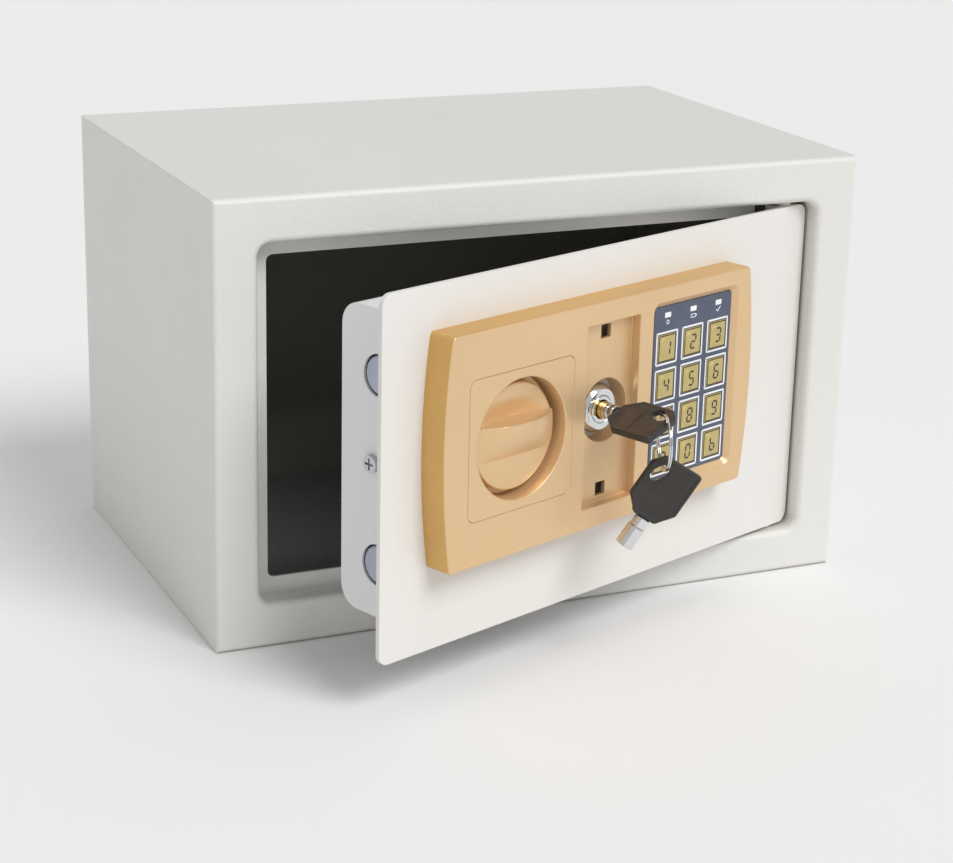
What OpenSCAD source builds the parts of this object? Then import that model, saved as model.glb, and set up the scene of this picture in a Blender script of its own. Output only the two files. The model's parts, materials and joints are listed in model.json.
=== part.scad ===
// In-room safe: a sheet-steel cabinet with a swinging door, a keypad fascia, a thumb-turn knob that
// throws two bolts, and a tubular override lock that draws back the blocking plunger.
// +Z is up, the door faces -Y, and the origin is the centre of the cabinet's base.
// Door parts are written for the closed door and then swung to the ajar angle.

/* [Cabinet] */
// Outer width of the cabinet
cabinet_w = 310; // [300:1:400]
// Outer height of the cabinet
cabinet_h = 200; // [190:1:260]
// Outer depth of the cabinet
cabinet_d = 205; // [160:1:400]
// Thickness of the cabinet's sheet steel
shell_t = 1.2; // [1:0.1:2]
// Width of the flat border round the door opening
border_w = 20; // [17:0.5:26]
// Radius of the cabinet's front edges
edge_r = 2.4; // [2:0.1:3]
// Radius of the bend from the border into the recess
roll_r = 3; // [2.2:0.1:4]
// Corner radius of the door opening
opening_r = 6; // [4:0.5:8]
// Depth from the cabinet's front to the land that stops the bolts
recess_depth = 12.5; // [11:0.5:18]
// Width of that land
land_w = 7.4; // [5:0.1:7.6]
// Depth of the deeper recess at the hinge side
hinge_pocket_depth = 26; // [24:0.5:36]
// Thickness of the floor mat
mat_t = 4; // [2:0.5:6]
// Diameter of the anchor holes in the back and the floor
anchor_d = 10; // [6:0.5:12]
// Distance between the two back anchor holes
back_anchor_spacing = 200; // [60:1:220]
// Height of the back anchor holes above the base
back_anchor_z = 71; // [40:1:120]
// Distance between the two floor anchor holes
floor_anchor_spacing = 80; // [60:1:130]

/* [Door] */
// Opening angle of the door as modelled
ajar = 20.7; // [0:0.1:80]
// Gap between the door plate and the opening at the left and right
side_gap = 2.5; // [1.9:0.1:4]
// Gap between the door plate and the opening at the top and bottom
end_gap = 2.25; // [1.5:0.05:4]
// Thickness of the door plate
plate_t = 2; // [1.5:0.1:3]
// How far the closed door plate stands back from the cabinet's front
door_inset = 4.5; // [3:0.1:5]
// Corner radius of the door plate
plate_r = 5; // [2:0.5:8]
// Diameter of the hinge pins
hinge_pin_d = 5; // [4:0.5:6]
// Distance from the door plate's right edge to the hinge axis
pivot_in = 10; // [8:0.5:11]
// Distance from the door plate's front face back to the hinge axis
pivot_back = 5.5; // [5:0.1:6.5]
// Depth of the door from its front face to the back of the inner pan
door_depth = 40; // [40:0.5:60]
// Thickness of the pan's sheet
pan_t = 1.2; // [0.8:0.1:1.6]
// Rounding of the pan's top and bottom rear edges
pan_r = 10; // [3:0.5:10]
// Inset of the pan's left wall from the plate's left edge
pan_inset_left = 15; // [13:0.5:18]
// Inset of the pan's right wall from the plate's right edge
pan_inset_right = 32.5; // [28:0.5:34]
// Inset of the pan's top wall from the plate's top edge
pan_inset_top = 11.5; // [7:0.5:14]
// Inset of the pan's bottom wall from the plate's bottom edge
pan_inset_bottom = 12.5; // [12:0.5:16]

/* [Bolts] */
// Diameter of the two locking bolts
bolt_d = 17; // [10:0.5:21]
// Travel of the bolts
bolt_throw = 18; // [16:0.5:22]
// Half the distance between the two bolts
bolt_half_pitch = 40.5; // [38:0.5:60]
// Length of each bolt
bolt_len = 35.2; // [30:0.1:40]
// Running clearance on the radius of shafts, bolts and pins
run_gap = 0.06; // [0.03:0.01:0.1]

/* [Fascia] */
// Width of the fascia at its top and bottom
fascia_w = 184.6; // [184:0.2:196]
// Height of the fascia
fascia_h = 100; // [99:0.5:115]
// Thickness of the fascia from the door plate to its face
fascia_t = 13; // [12.5:0.1:16]
// How far each side of the fascia bulges
fascia_bulge = 4; // [2:0.1:6]
// Wall thickness of the fascia moulding
fascia_wall = 2.5; // [2:0.1:2.5]

/* [Knob and lock] */
// Diameter of the round well that the knob sits in
well_d = 52; // [51:0.5:54]
// Diameter of the knob
knob_d = 46; // [40:0.5:48]
// Height of the grip across the knob
grip_h = 16.5; // [10:0.5:20]
// Diameter of the hole that the lock stands in
lock_well_d = 28; // [24:0.5:28]
// Diameter of the lock's plug
plug_d = 12; // [11:0.1:13]
// Travel of the blocking plunger
plunger_travel = 4; // [3.5:0.1:4.5]

/* [Keypad] */
// Distance between key centres across
key_pitch_x = 17; // [16.5:0.1:17]
// Distance between key centres upwards
key_pitch_z = 16.9; // [16:0.1:17]
// Width of a key cap
key_w = 11.6; // [10:0.1:12.4]
// Height of a key cap
key_h = 12.4; // [10:0.1:13]
// Travel of a key
key_travel = 0.5; // [0.3:0.1:0.6]

/* [Hidden] */
$fn = 64;

// Clearances that belong to no single piece
touch_gap = 0.15;
bolt_behind_land = 0.3;
slot_play = 0.46;
yoke_play = 0.15;

// Cabinet planes
front_y = -cabinet_d / 2;
back_y = cabinet_d / 2;
open_x = cabinet_w / 2 - border_w;
open_z0 = border_w;
open_z1 = cabinet_h - border_w;
frame_return = 10;
land_y = front_y + recess_depth;
land_back_y = land_y + shell_t;
pocket_y = front_y + hinge_pocket_depth;

// Door planes, for the closed door
door_y = front_y + door_inset;
plate_back = door_y + plate_t;
door_x0 = -open_x + side_gap;
door_x1 = open_x - side_gap;
door_z0 = open_z0 + end_gap;
door_z1 = open_z1 - end_gap;
door_zc = (door_z0 + door_z1) / 2;
hinge_x = door_x1 - pivot_in;
hinge_y = door_y + pivot_back;
pan_x0 = door_x0 + pan_inset_left;
pan_x1 = door_x1 - pan_inset_right;
pan_z0 = door_z0 + pan_inset_bottom;
pan_z1 = door_z1 - pan_inset_top;
pan_y = door_y + door_depth;
pan_inner_y = pan_y - pan_t;

// The front-left part of the land ends where the plate's hinge edge swings
pocket_x = hinge_x - pivot_in - plate_t - 1.5;

// Hinge lugs and washers
lug_w = 13;
lug_h = 16;
lug_back = 5;
washer_t = end_gap - 0.1;
washer_d = 2 * (pivot_back - plate_t) - 0.2;

// Fascia, its well, recess and keypad
fascia_x = (door_x0 + door_x1) / 2 - 14.2;
fascia_z = door_zc + 8.9;
face_y = door_y - fascia_t;
fascia_r = ((fascia_h / 2) * (fascia_h / 2) + fascia_bulge * fascia_bulge) / (2 * fascia_bulge);
wall_back_y = face_y + fascia_wall;
knob_x = fascia_x - 51.8;
knob_face_y = face_y + 4.4;
knob_body_t = 4.6;
grip_rise = 6.6;
bezel_w = 61;
bezel_h = 60.4;
bezel_r = 4;
bezel_lip = 1.2;
well_floor_y = face_y + 10.8;
well_floor_t = 1.6;
lock_x = fascia_x + 3.2;
recess_x = fascia_x + 2.5;
recess_w = 33;
recess_h = 81;
cover_recess = 4.8;
recess_floor_y = face_y + cover_recess;
clip_w = 6;
clip_z = 35.1;
pad_x = fascia_x + 56.2;
pad_z = fascia_z + 1.1;
pad_w = 52;
pad_h = 79;
pad_recess = 2;
pad_y = face_y + pad_recess;
label_t = 1.4;
key_rise = 0.9;
key_flange = 0.9;
key_gap = 0.2;
keys_z = pad_z - 4.9;
board_y = pad_y + label_t + key_flange + key_travel + 1.2;
board_t = 1.6;
board_w = 56;
board_h = 74;
led_z = pad_z + 35.2;
led_w = 4.2;
led_h = 2.4;
boss_d = 8;
screw_dx = 84;
screw_dz = 42;
screw_d = 4;
wire_x = pad_x + 4;
wire_z = fascia_z - 40.4;
wire_hole_d = 12;
wire_d = 1.8;

// Bolts and their carriage
bolt_y = land_back_y + bolt_behind_land + bolt_d / 2;
bolt_z = door_zc - 2;
bolt_tip = pan_x0 + 0.3;
bolt_hole_gap = 0.5;
bolt_tail = bolt_tip + bolt_len;
flange_t = 1.5;
flange_x = bolt_tail + flange_t;
flange_y0 = plate_back + 3;
flange_y1 = bolt_y + bolt_d / 2 + 0.5;
flange_half = bolt_half_pitch + 8;
web_y0 = flange_y0;
web_t = 1.5;
web_y1 = web_y0 + web_t;
web_half = 26;
post_dx = 10;
post_dz = 20;
post_d = 5;
web_x1 = knob_x + post_dx + bolt_throw + post_d / 2 + 3.5;
guide_x = pan_x0 + 11.5;
guide_t = 1.5;
shaft_d = 8;
cam_y0 = web_y1 + 0.8;
cam_t = 2.2;
crank_pin_d = 3;
crank_r = bolt_throw / sqrt(2);
cam_d = 2 * crank_r + crank_pin_d + 4.5;

// Blocking plunger, its solenoid and its yoke
plunger_d = 6;
plunger_x = fascia_x - 15.8;
plunger_y = plate_back + 10;
solenoid_w = 20;
solenoid_z0 = fascia_z - 68.9;
solenoid_h = 22;
solenoid_wall = 2;
collar_d = 9;
tab_gap = 5.5;
tab_w = bolt_throw - 2 * tab_gap;
tab_z = fascia_z - 36.9;
tab_x = plunger_x + tab_gap;
tip_z = tab_z - 0.8;
collar_z = tip_z - 4.2;
yoke_t = 1.5;
yoke_z = collar_z + 1.5;
yoke_y = plunger_y + 5;
eccentric_r = plunger_travel / sqrt(2);
eccentric_d = 3;

// Lock and keys
lock_barrel_d = 18;
lock_collar_d = 22;
lock_front_y = door_y - 7;
lock_rear_y = plate_back + 12;
nut_t = 5;
key_tube_d = 8;
key_tube_bore = 6;
key_neck_d = 6.8;
key_neck_l = 4.6;
groove_d = key_tube_d + 0.2;
groove_post_d = key_tube_bore - 0.4;
groove_depth = 8;
key_tip_y = lock_front_y + groove_depth - 1.6;
key_head_l = 28;
key_head_t = 3.4;
key_start = 15;
key_tilt = 17;
tang_l = 5;
tang_t = 1.6;
tube_l = key_tip_y - door_y + key_start;
ring_mean_r = 11.4;
ring_wire_d = 1.6;
ring_angle = 119;
ring_side = 2.6;
ring_reach = 25.5;
hole_w = 5.6;
hole_near = 1.7;
hole_far = 10.8;
key_two_lean = 33;
ring_turn = 7;
ring_azimuth = -ring_angle - ring_turn;
ring_cx = lock_x + ring_side * cos(key_tilt);
ring_cy = door_y - key_start - ring_reach;
ring_top_z = fascia_z + ring_side * sin(key_tilt) + key_head_t / 2 / cos(key_tilt) + ring_wire_d / 2 + 0.75;
ring_cz = ring_top_z - ring_mean_r;
hole_s = hole_near + hole_w / 2;
hang_a = ring_side - hole_s * cos(ring_angle) + 0.9 * sin(key_two_lean);
hang_l = ring_reach - hole_s * sin(ring_angle) + 0.9 * cos(key_two_lean);

// Battery box and reset button
cell_d = 14.2;
cell_l = 50.2;
cell_pitch = 14.8;
cell_count = 4;
box_wall = 2;
box_x1 = pan_x1 - 16;
box_w = cell_count * cell_pitch + 3 + 2 * box_wall;
box_x0 = box_x1 - box_w;
box_h = cell_l + 9.6 + 2 * box_wall;
box_z0 = door_zc - 30;
box_rise = 1;
box_y0 = pan_y - 20;
box_y1 = pan_y + box_rise;
cover_gap = 0.3;
barrel_r = 1;
cell_y = box_y0 + box_wall + cell_d / 2 + 0.3;
cell_z0 = box_z0 + box_h / 2 - cell_l / 2 - 0.5;
hinge_line_y = box_y1 - barrel_r - 0.1;
hinge_line_z = box_z0 + box_wall + barrel_r + 0.3;
reset_x = pan_x1 - 14;
reset_z = door_zc - 42;
button_d = 6;
reset_travel = 1.5;

// ---------------------------------------------------------------- shared shapes

// Axis-aligned block between two values on each axis
module block(x0, x1, y0, y1, z0, z1) {
    translate([x0, y0, z0]) cube([x1 - x0, y1 - y0, z1 - z0]);
}

module rod_x(x0, x1, y, z, d) {
    translate([x0, y, z]) rotate([0, 90, 0]) cylinder(h = x1 - x0, d = d);
}

module rod_y(x, y0, y1, z, d) {
    translate([x, y1, z]) rotate([90, 0, 0]) cylinder(h = y1 - y0, d = d);
}

module rod_z(x, y, z0, z1, d) {
    translate([x, y, z0]) cylinder(h = z1 - z0, d = d);
}

// Flat rectangle with round corners, centred on the origin
module round_rect(w, h, r) {
    square([w - 2 * r, h], center = true);
    square([w, h - 2 * r], center = true);
    for (sx = [-1, 1], sz = [-1, 1])
        translate([sx * (w / 2 - r), sz * (h / 2 - r)]) circle(r = r);
}

// Upright sheet with round corners, centred on (x, z), from y0 back to y1
module sheet(x, z, w, h, r, y0, y1) {
    translate([x, y1, z]) rotate([90, 0, 0]) linear_extrude(y1 - y0) round_rect(w, h, r);
}

// Square-cornered profile whose two corners at its low-y end are rounded
module nose_profile(half, y0, y1, r) {
    translate([-half, y0 + r]) square([2 * half, y1 - y0 - r]);
    translate([-half + r, y0]) square([2 * (half - r), y1 - y0]);
    for (s = [-1, 1]) translate([s * (half - r), y0 + r]) circle(r = r);
}

// Box whose four edges at its low-y end are rounded, standing on z0
module nose_box(w, h, y0, y1, r, z0) {
    intersection() {
        translate([0, 0, z0 - 1]) linear_extrude(h + 2) nose_profile(w / 2, y0, y1, r);
        translate([-w / 2 - 1, 0, z0 + h / 2]) rotate([0, 90, 0])
            linear_extrude(w + 2) nose_profile(h / 2, y0, y1, r);
    }
}

// Swings the closed door's pieces to the ajar angle
module on_door() {
    translate([hinge_x, hinge_y, 0]) rotate([0, 0, ajar]) translate([-hinge_x, -hinge_y, 0])
        children();
}

// Places a piece along a line of corner points as a round wire with ball elbows
module wire(points, d) {
    for (i = [0 : len(points) - 2]) {
        step = points[i + 1] - points[i];
        length = norm(step);
        tilt = acos(step[2] / length);
        turn = atan2(step[1], step[0]);
        translate(points[i]) rotate([0, tilt, turn]) cylinder(h = length, d = d);
        if (i > 0) translate(points[i]) sphere(d = d);
    }
}

// ---------------------------------------------------------------- cabinet

// Sheet ring that lines the door opening
module opening_ring(y0, y1) {
    difference() {
        sheet(0, cabinet_h / 2, 2 * (open_x + shell_t), open_z1 - open_z0 + 2 * shell_t,
            opening_r + shell_t, y0, y1);
        sheet(0, cabinet_h / 2, 2 * open_x, open_z1 - open_z0, opening_r, y0 - 1, y1 + 1);
    }
}

// Quarter of a sheet bend, measured from the corner centre outwards
module roll_profile(distance) {
    intersection() {
        translate([distance, 0]) difference() {
            circle(r = roll_r);
            circle(r = roll_r - shell_t);
        }
        translate([distance - roll_r, -roll_r]) square([roll_r, roll_r]);
    }
}

// Rolled bend from the border into the recess, all round the opening
module opening_roll() {
    cx = open_x - opening_r;
    cz = (open_z1 - open_z0) / 2 - opening_r;
    translate([0, front_y + roll_r, cabinet_h / 2]) rotate([-90, 0, 0]) {
        for (i = [0 : 3]) {
            sx = (i == 0 || i == 3) ? 1 : -1;
            sz = (i < 2) ? 1 : -1;
            translate([sx * cx, sz * cz, 0]) rotate([0, 0, 90 * i])
                rotate_extrude(angle = 90) roll_profile(opening_r + roll_r);
        }
        for (s = [0, 180]) rotate([0, 0, s]) {
            translate([cx, -cz, 0]) rotate([-90, 0, 0]) mirror([0, 1, 0])
                linear_extrude(2 * cz) roll_profile(opening_r + roll_r);
            translate([cx, cz, 0]) rotate([0, 0, 90]) rotate([-90, 0, 0]) mirror([0, 1, 0])
                linear_extrude(2 * cx) roll_profile(opening_r + roll_r);
        }
    }
}

// Outer sheet: top, two sides and bottom
module body_wrap() {
    color([0.78, 0.77, 0.74]) difference() {
        block(-cabinet_w / 2, cabinet_w / 2, front_y + frame_return, back_y, 0, cabinet_h);
        block(-cabinet_w / 2 + shell_t, cabinet_w / 2 - shell_t,
            front_y, back_y + 1, shell_t, cabinet_h - shell_t);
        for (s = [-1, 1]) rod_z(s * floor_anchor_spacing / 2, 0, -1, shell_t + 1, anchor_d);
    }
}

// Panel welded inside the rear end of the wrap
module back_panel() {
    color([0.78, 0.77, 0.74]) difference() {
        block(-cabinet_w / 2 + shell_t, cabinet_w / 2 - shell_t, back_y - shell_t, back_y,
            shell_t, cabinet_h - shell_t);
        for (s = [-1, 1])
            rod_y(s * back_anchor_spacing / 2, back_y - shell_t - 1, back_y + 1, back_anchor_z, anchor_d);
    }
}

// Border, rolled edge, recess walls, bolt land and hinge pocket, with the hinge pin holes
module front_frame() {
    color([0.9, 0.89, 0.86]) difference() {
        union() {
            difference() {
                nose_box(cabinet_w, cabinet_h, front_y, front_y + frame_return, edge_r, 0);
                nose_box(cabinet_w - 2 * shell_t, cabinet_h - 2 * shell_t, front_y + shell_t,
                    front_y + frame_return + 1, edge_r - shell_t, shell_t);
                sheet(0, cabinet_h / 2, 2 * (open_x + roll_r), open_z1 - open_z0 + 2 * roll_r,
                    opening_r + roll_r, front_y - 1, front_y + shell_t + 1);
            }
            opening_roll();
            opening_ring(front_y + roll_r, land_back_y);
            intersection() {
                opening_ring(land_back_y - 0.5, pocket_y);
                block(pocket_x, cabinet_w, front_y, back_y, 0, cabinet_h);
            }
            intersection() {
                difference() {
                    sheet(0, cabinet_h / 2, 2 * (open_x + shell_t / 2), open_z1 - open_z0 + shell_t,
                        opening_r + shell_t / 2, land_y, land_back_y);
                    sheet(0, cabinet_h / 2, 2 * (open_x - land_w), open_z1 - open_z0 - 2 * land_w,
                        3, land_y - 1, land_back_y + 1);
                }
                block(-cabinet_w, pocket_x, front_y, back_y, 0, cabinet_h);
            }
        }
        rod_z(hinge_x, hinge_y, open_z0 - shell_t - 1, open_z0 + 1, hinge_pin_d);
        rod_z(hinge_x, hinge_y, open_z1 - 1, open_z1 + shell_t + 1, hinge_pin_d);
    }
}

// Felt mat on the floor, cut clear of the anchor holes
module floor_mat() {
    color([0.13, 0.14, 0.14]) difference() {
        block(-cabinet_w / 2 + shell_t + 1.2, cabinet_w / 2 - shell_t - 1.2, front_y + 5,
            back_y - shell_t - 1.2, shell_t, shell_t + mat_t);
        for (s = [-1, 1]) rod_z(s * floor_anchor_spacing / 2, 0, 0, shell_t + mat_t + 1, anchor_d + 8);
    }
}

// Two headed pins that the door turns on
module hinge_pins() {
    color("silver") {
        rod_z(hinge_x, hinge_y, open_z0 - shell_t - 1.5, open_z0 - shell_t, hinge_pin_d + 4);
        rod_z(hinge_x, hinge_y, open_z0 - shell_t, door_z0 + lug_h - 1, hinge_pin_d);
        rod_z(hinge_x, hinge_y, open_z1 + shell_t, open_z1 + shell_t + 1.5, hinge_pin_d + 4);
        rod_z(hinge_x, hinge_y, door_z1 - lug_h + 1, open_z1 + shell_t, hinge_pin_d);
    }
}

// ---------------------------------------------------------------- door shell

// Steel plate that carries everything on the door
module door_plate() {
    color([0.91, 0.9, 0.87]) on_door() difference() {
        sheet((door_x0 + door_x1) / 2, door_zc, door_x1 - door_x0, door_z1 - door_z0, plate_r,
            door_y, plate_back);
        rod_y(knob_x, door_y - 1, plate_back + 1, fascia_z, shaft_d + 3);
        rod_y(lock_x, door_y - 1, plate_back + 1, fascia_z, lock_barrel_d);
        rod_y(wire_x, door_y - 1, plate_back + 1, wire_z, wire_hole_d);
        for (sx = [-1, 1], sz = [-1, 1])
            rod_y(fascia_x + sx * screw_dx, door_y - 1, plate_back + 1, fascia_z + sz * screw_dz, screw_d);
        for (sz = [-1, 1])
            rod_y(knob_x + post_dx, door_y - 1, plate_back + 1, fascia_z + sz * post_dz, post_d - 1);
    }
}

// Two drilled lugs welded behind the plate's hinge edge
module hinge_lugs() {
    color([0.8, 0.79, 0.76]) on_door() difference() {
        for (z0 = [door_z0 + 0.3, door_z1 - lug_h - 0.3])
            block(hinge_x - lug_w / 2, hinge_x + lug_w / 2, plate_back, hinge_y + lug_back, z0, z0 + lug_h);
        rod_z(hinge_x, hinge_y, door_z0 - 1, door_z1 + 1, hinge_pin_d + 2 * run_gap);
    }
}

// Nylon washers between the lugs and the frame
module hinge_washers() {
    color("ivory") on_door() difference() {
        union() {
            rod_z(hinge_x, hinge_y, door_z0 + 0.3 - washer_t, door_z0 + 0.3, washer_d);
            rod_z(hinge_x, hinge_y, door_z1 - 0.3, door_z1 - 0.3 + washer_t, washer_d);
        }
        rod_z(hinge_x, hinge_y, door_z0 - 5, door_z1 + 5, hinge_pin_d + 2 * run_gap);
    }
}

// Tray shape that opens towards the plate, rounded along its top and bottom rear edges
module pan_solid(inset, y0, y1) {
    half = (pan_z1 - pan_z0) / 2 - inset;
    translate([pan_x0 + inset, 0, (pan_z0 + pan_z1) / 2]) mirror([0, 1, 0]) rotate([0, 90, 0])
        linear_extrude(pan_x1 - pan_x0 - 2 * inset) nose_profile(half, -y1, -y0, pan_r - inset);
}

// Inner pan that closes the back of the door, with the bolt, battery and reset openings
module door_pan() {
    color([0.86, 0.86, 0.87]) on_door() difference() {
        pan_solid(0, plate_back, pan_y);
        pan_solid(pan_t, plate_back - 1, pan_inner_y);
        for (s = [-1, 1])
            rod_x(pan_x0 - 1, pan_x0 + pan_t + 1, bolt_y, bolt_z + s * bolt_half_pitch, bolt_d + 2 * bolt_hole_gap);
        block(box_x0 - 0.4, box_x1 + 0.4, pan_inner_y - 1, pan_y + 1, box_z0 - 0.4, box_z0 + box_h + 0.4);
        rod_y(reset_x, pan_inner_y - 1, pan_y + 1, reset_z, button_d + 0.6);
        rod_x(pan_x0 - 1, pan_x0 + pan_t + 1, door_y + 21, door_zc + 1, screw_d);
        rod_x(pan_x1 - pan_t - 1, pan_x1 + 1, door_y + 21, door_zc + 1, screw_d);
    }
}

// Blocks on the plate that the pan's side screws run into
module pan_brackets() {
    color("silver") on_door() difference() {
        union() {
            block(pan_x0 + pan_t, guide_x, plate_back, door_y + 25, door_zc - 5, door_zc + 7);
            block(pan_x1 - pan_t - 9, pan_x1 - pan_t, plate_back, door_y + 25, door_zc - 5, door_zc + 7);
        }
        rod_x(pan_x0, pan_x0 + 9, door_y + 21, door_zc + 1, screw_d);
        rod_x(pan_x1 - 9, pan_x1, door_y + 21, door_zc + 1, screw_d);
    }
}

// Cross-headed screw along +X, its head's seat at x = 0
module cross_screw(length, head_d, head_t, d) {
    difference() {
        union() {
            rotate([0, -90, 0]) cylinder(h = head_t, d = head_d);
            rotate([0, 90, 0]) cylinder(h = length, d = d);
        }
        for (a = [0, 90]) rotate([a, 0, 0])
            translate([-head_t - 1, -0.5, -head_d / 3]) cube([1 + head_t * 0.6, 1, head_d * 2 / 3]);
    }
}

module pan_screws() {
    color("silver") on_door() {
        translate([pan_x0, door_y + 21, door_zc + 1]) cross_screw(8.5, 7.6, 2.2, screw_d);
        translate([pan_x1, door_y + 21, door_zc + 1]) mirror([1, 0, 0])
            cross_screw(8.5, 7.6, 2.2, screw_d);
    }
}

// ---------------------------------------------------------------- bolt work

// Bent sheet with the two bores that the bolts run in
module bolt_guide() {
    color("lightgray") on_door() difference() {
        union() {
            block(guide_x, guide_x + guide_t, plate_back, bolt_y + bolt_d / 2 + 4,
                bolt_z - bolt_half_pitch - 13, bolt_z + bolt_half_pitch + 13);
            block(guide_x + guide_t, guide_x + 12, plate_back, plate_back + guide_t,
                bolt_z - 20, bolt_z + 20);
        }
        for (s = [-1, 1])
            rod_x(guide_x - 1, guide_x + guide_t + 1, bolt_y, bolt_z + s * bolt_half_pitch,
                bolt_d + 2 * run_gap);
    }
}

// Shouldered posts that the carriage slides on, riveted into the plate
module guide_posts() {
    color("silver") on_door() for (s = [-1, 1]) {
        rod_y(knob_x + post_dx, door_y, plate_back, fascia_z + s * post_dz, post_d - 1);
        rod_y(knob_x + post_dx, plate_back, web_y0 - 0.2, fascia_z + s * post_dz, post_d + 2.5);
        rod_y(knob_x + post_dx, web_y0 - 0.2, web_y1 + 0.2, fascia_z + s * post_dz, post_d);
        rod_y(knob_x + post_dx, web_y1 + 0.2, web_y1 + 1.6, fascia_z + s * post_dz, post_d + 3);
    }
}

// Level slot that lets a round piece at (x, z) stay still while the carriage travels
module travel_slot(x, z, d) {
    rod_y(x, web_y0 - 1, web_y1 + 1, z, d);
    rod_y(x + bolt_throw, web_y0 - 1, web_y1 + 1, z, d);
    block(x, x + bolt_throw, web_y0 - 1, web_y1 + 1, z - d / 2, z + d / 2);
}

// Sliding plate: flange for the bolts, slotted web for the crank, and the tab the plunger blocks
module bolt_carriage() {
    pin_w = crank_pin_d + 2 * slot_play;
    pin_x = knob_x + crank_r / sqrt(2);
    color([0.72, 0.73, 0.74]) on_door() difference() {
        union() {
            block(bolt_tail, flange_x, flange_y0, flange_y1, bolt_z - flange_half, bolt_z + flange_half);
            block(flange_x, web_x1, web_y0, web_y1, fascia_z - web_half, fascia_z + web_half);
            block(web_x1 - 12, tab_x + tab_w, web_y0, web_y1, tab_z + web_t, fascia_z - web_half);
            block(tab_x, tab_x + tab_w, web_y0, plunger_y + plunger_d / 2 + 0.4, tab_z, tab_z + web_t);
        }
        travel_slot(knob_x, fascia_z, shaft_d + 1);
        for (s = [-1, 1]) travel_slot(knob_x + post_dx, fascia_z + s * post_dz, post_d + 2 * run_gap);
        block(pin_x - pin_w / 2, pin_x + pin_w / 2, web_y0 - 1, web_y1 + 1,
            fascia_z + crank_r / sqrt(2) - crank_pin_d / 2 - 0.4, fascia_z + crank_r + crank_pin_d / 2 + 0.4);
        for (s = [-1, 1])
            rod_x(bolt_tail - 1, flange_x + 1, bolt_y, bolt_z + s * bolt_half_pitch, 6);
        block(bolt_tail - 1, flange_x + 1, cam_y0 - 0.4, cam_y0 + cam_t + 0.4,
            fascia_z - cam_d / 2, fascia_z + cam_d / 2);
    }
}

// One bolt with a chamfered tip and a screw hole in its tail
module bolt(z) {
    color("silver") on_door() difference() {
        translate([bolt_tip, bolt_y, z]) rotate([0, 90, 0]) rotate_extrude()
            polygon([[0, 0], [bolt_d / 2 - 1, 0], [bolt_d / 2, 1], [bolt_d / 2, bolt_len], [0, bolt_len]]);
        rod_x(bolt_tail - 10, bolt_tail + 1, bolt_y, z, 6);
    }
}

module upper_bolt() { bolt(bolt_z + bolt_half_pitch); }

module lower_bolt() { bolt(bolt_z - bolt_half_pitch); }

// Screws that hold the bolts to the carriage flange
module bolt_screws() {
    color("dimgray") on_door() for (s = [-1, 1])
        translate([flange_x, bolt_y, bolt_z + s * bolt_half_pitch]) mirror([1, 0, 0])
            cross_screw(10, 11, 3, 6);
}

// ---------------------------------------------------------------- fascia and keypad

// Barrel outline: straight top and bottom, bulging sides
module fascia_outline(inset) {
    r = fascia_r - inset;
    intersection() {
        square([fascia_w + 2 * fascia_bulge, fascia_h - 2 * inset], center = true);
        translate([r - fascia_w / 2 - fascia_bulge + inset, 0]) circle(r = r, $fn = 360);
        translate([-r + fascia_w / 2 + fascia_bulge - inset, 0]) circle(r = r, $fn = 360);
    }
}

module fascia_solid(inset, y0, y1) {
    translate([fascia_x, y1, fascia_z]) rotate([90, 0, 0]) linear_extrude(y1 - y0)
        fascia_outline(inset);
}

// Gold moulding with its bezel opening, lock-cover recess, lock well and keypad recess
module fascia() {
    color([0.85, 0.68, 0.45]) on_door() difference() {
        union() {
            difference() {
                fascia_solid(0, face_y, door_y);
                fascia_solid(fascia_wall, wall_back_y, door_y + 1);
            }
            block(recess_x - recess_w / 2 - 2, recess_x + recess_w / 2 + 2, face_y + 0.5,
                recess_floor_y + 2, fascia_z - recess_h / 2 - 2, fascia_z + recess_h / 2 + 2);
            rod_y(lock_x, recess_floor_y, door_y, fascia_z, lock_well_d + 3.4);
            sheet(pad_x, pad_z, pad_w + 4, pad_h + 4, 3, face_y + 0.5, pad_y + label_t + 1.2);
            for (sx = [-1, 1], sz = [-1, 1])
                rod_y(fascia_x + sx * screw_dx, face_y + 1, door_y, fascia_z + sz * screw_dz, boss_d);
        }
        sheet(knob_x, fascia_z, bezel_w + 2 * touch_gap, bezel_h + 2 * touch_gap, bezel_r,
            face_y - 1, face_y + fascia_wall + 1);
        block(recess_x - recess_w / 2, recess_x + recess_w / 2, face_y - 1, recess_floor_y,
            fascia_z - recess_h / 2, fascia_z + recess_h / 2);
        rod_y(lock_x, face_y - 1, door_y + 1, fascia_z, lock_well_d);
        for (s = [-1, 1])
            block(recess_x - clip_w / 2, recess_x + clip_w / 2, face_y, recess_floor_y + 3,
                fascia_z + s * clip_z - clip_w / 2, fascia_z + s * clip_z + clip_w / 2);
        sheet(pad_x, pad_z, pad_w, pad_h, 2, face_y - 1, pad_y + label_t);
        sheet(pad_x, pad_z, pad_w - 3, pad_h - 3, 1, face_y - 1, pad_y + label_t + 2);
        for (sx = [-1, 1], sz = [-1, 1])
            rod_y(fascia_x + sx * screw_dx, face_y + 4, door_y + 1, fascia_z + sz * screw_dz, screw_d);
    }
}

// Screws from inside the door into the fascia's bosses
module fascia_screws() {
    color("silver") on_door() for (sx = [-1, 1], sz = [-1, 1])
        translate([fascia_x + sx * screw_dx, plate_back, fascia_z + sz * screw_dz])
            rotate([0, 0, -90]) cross_screw(plate_back - face_y - 4.5, 8, 2.2, screw_d);
}

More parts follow.
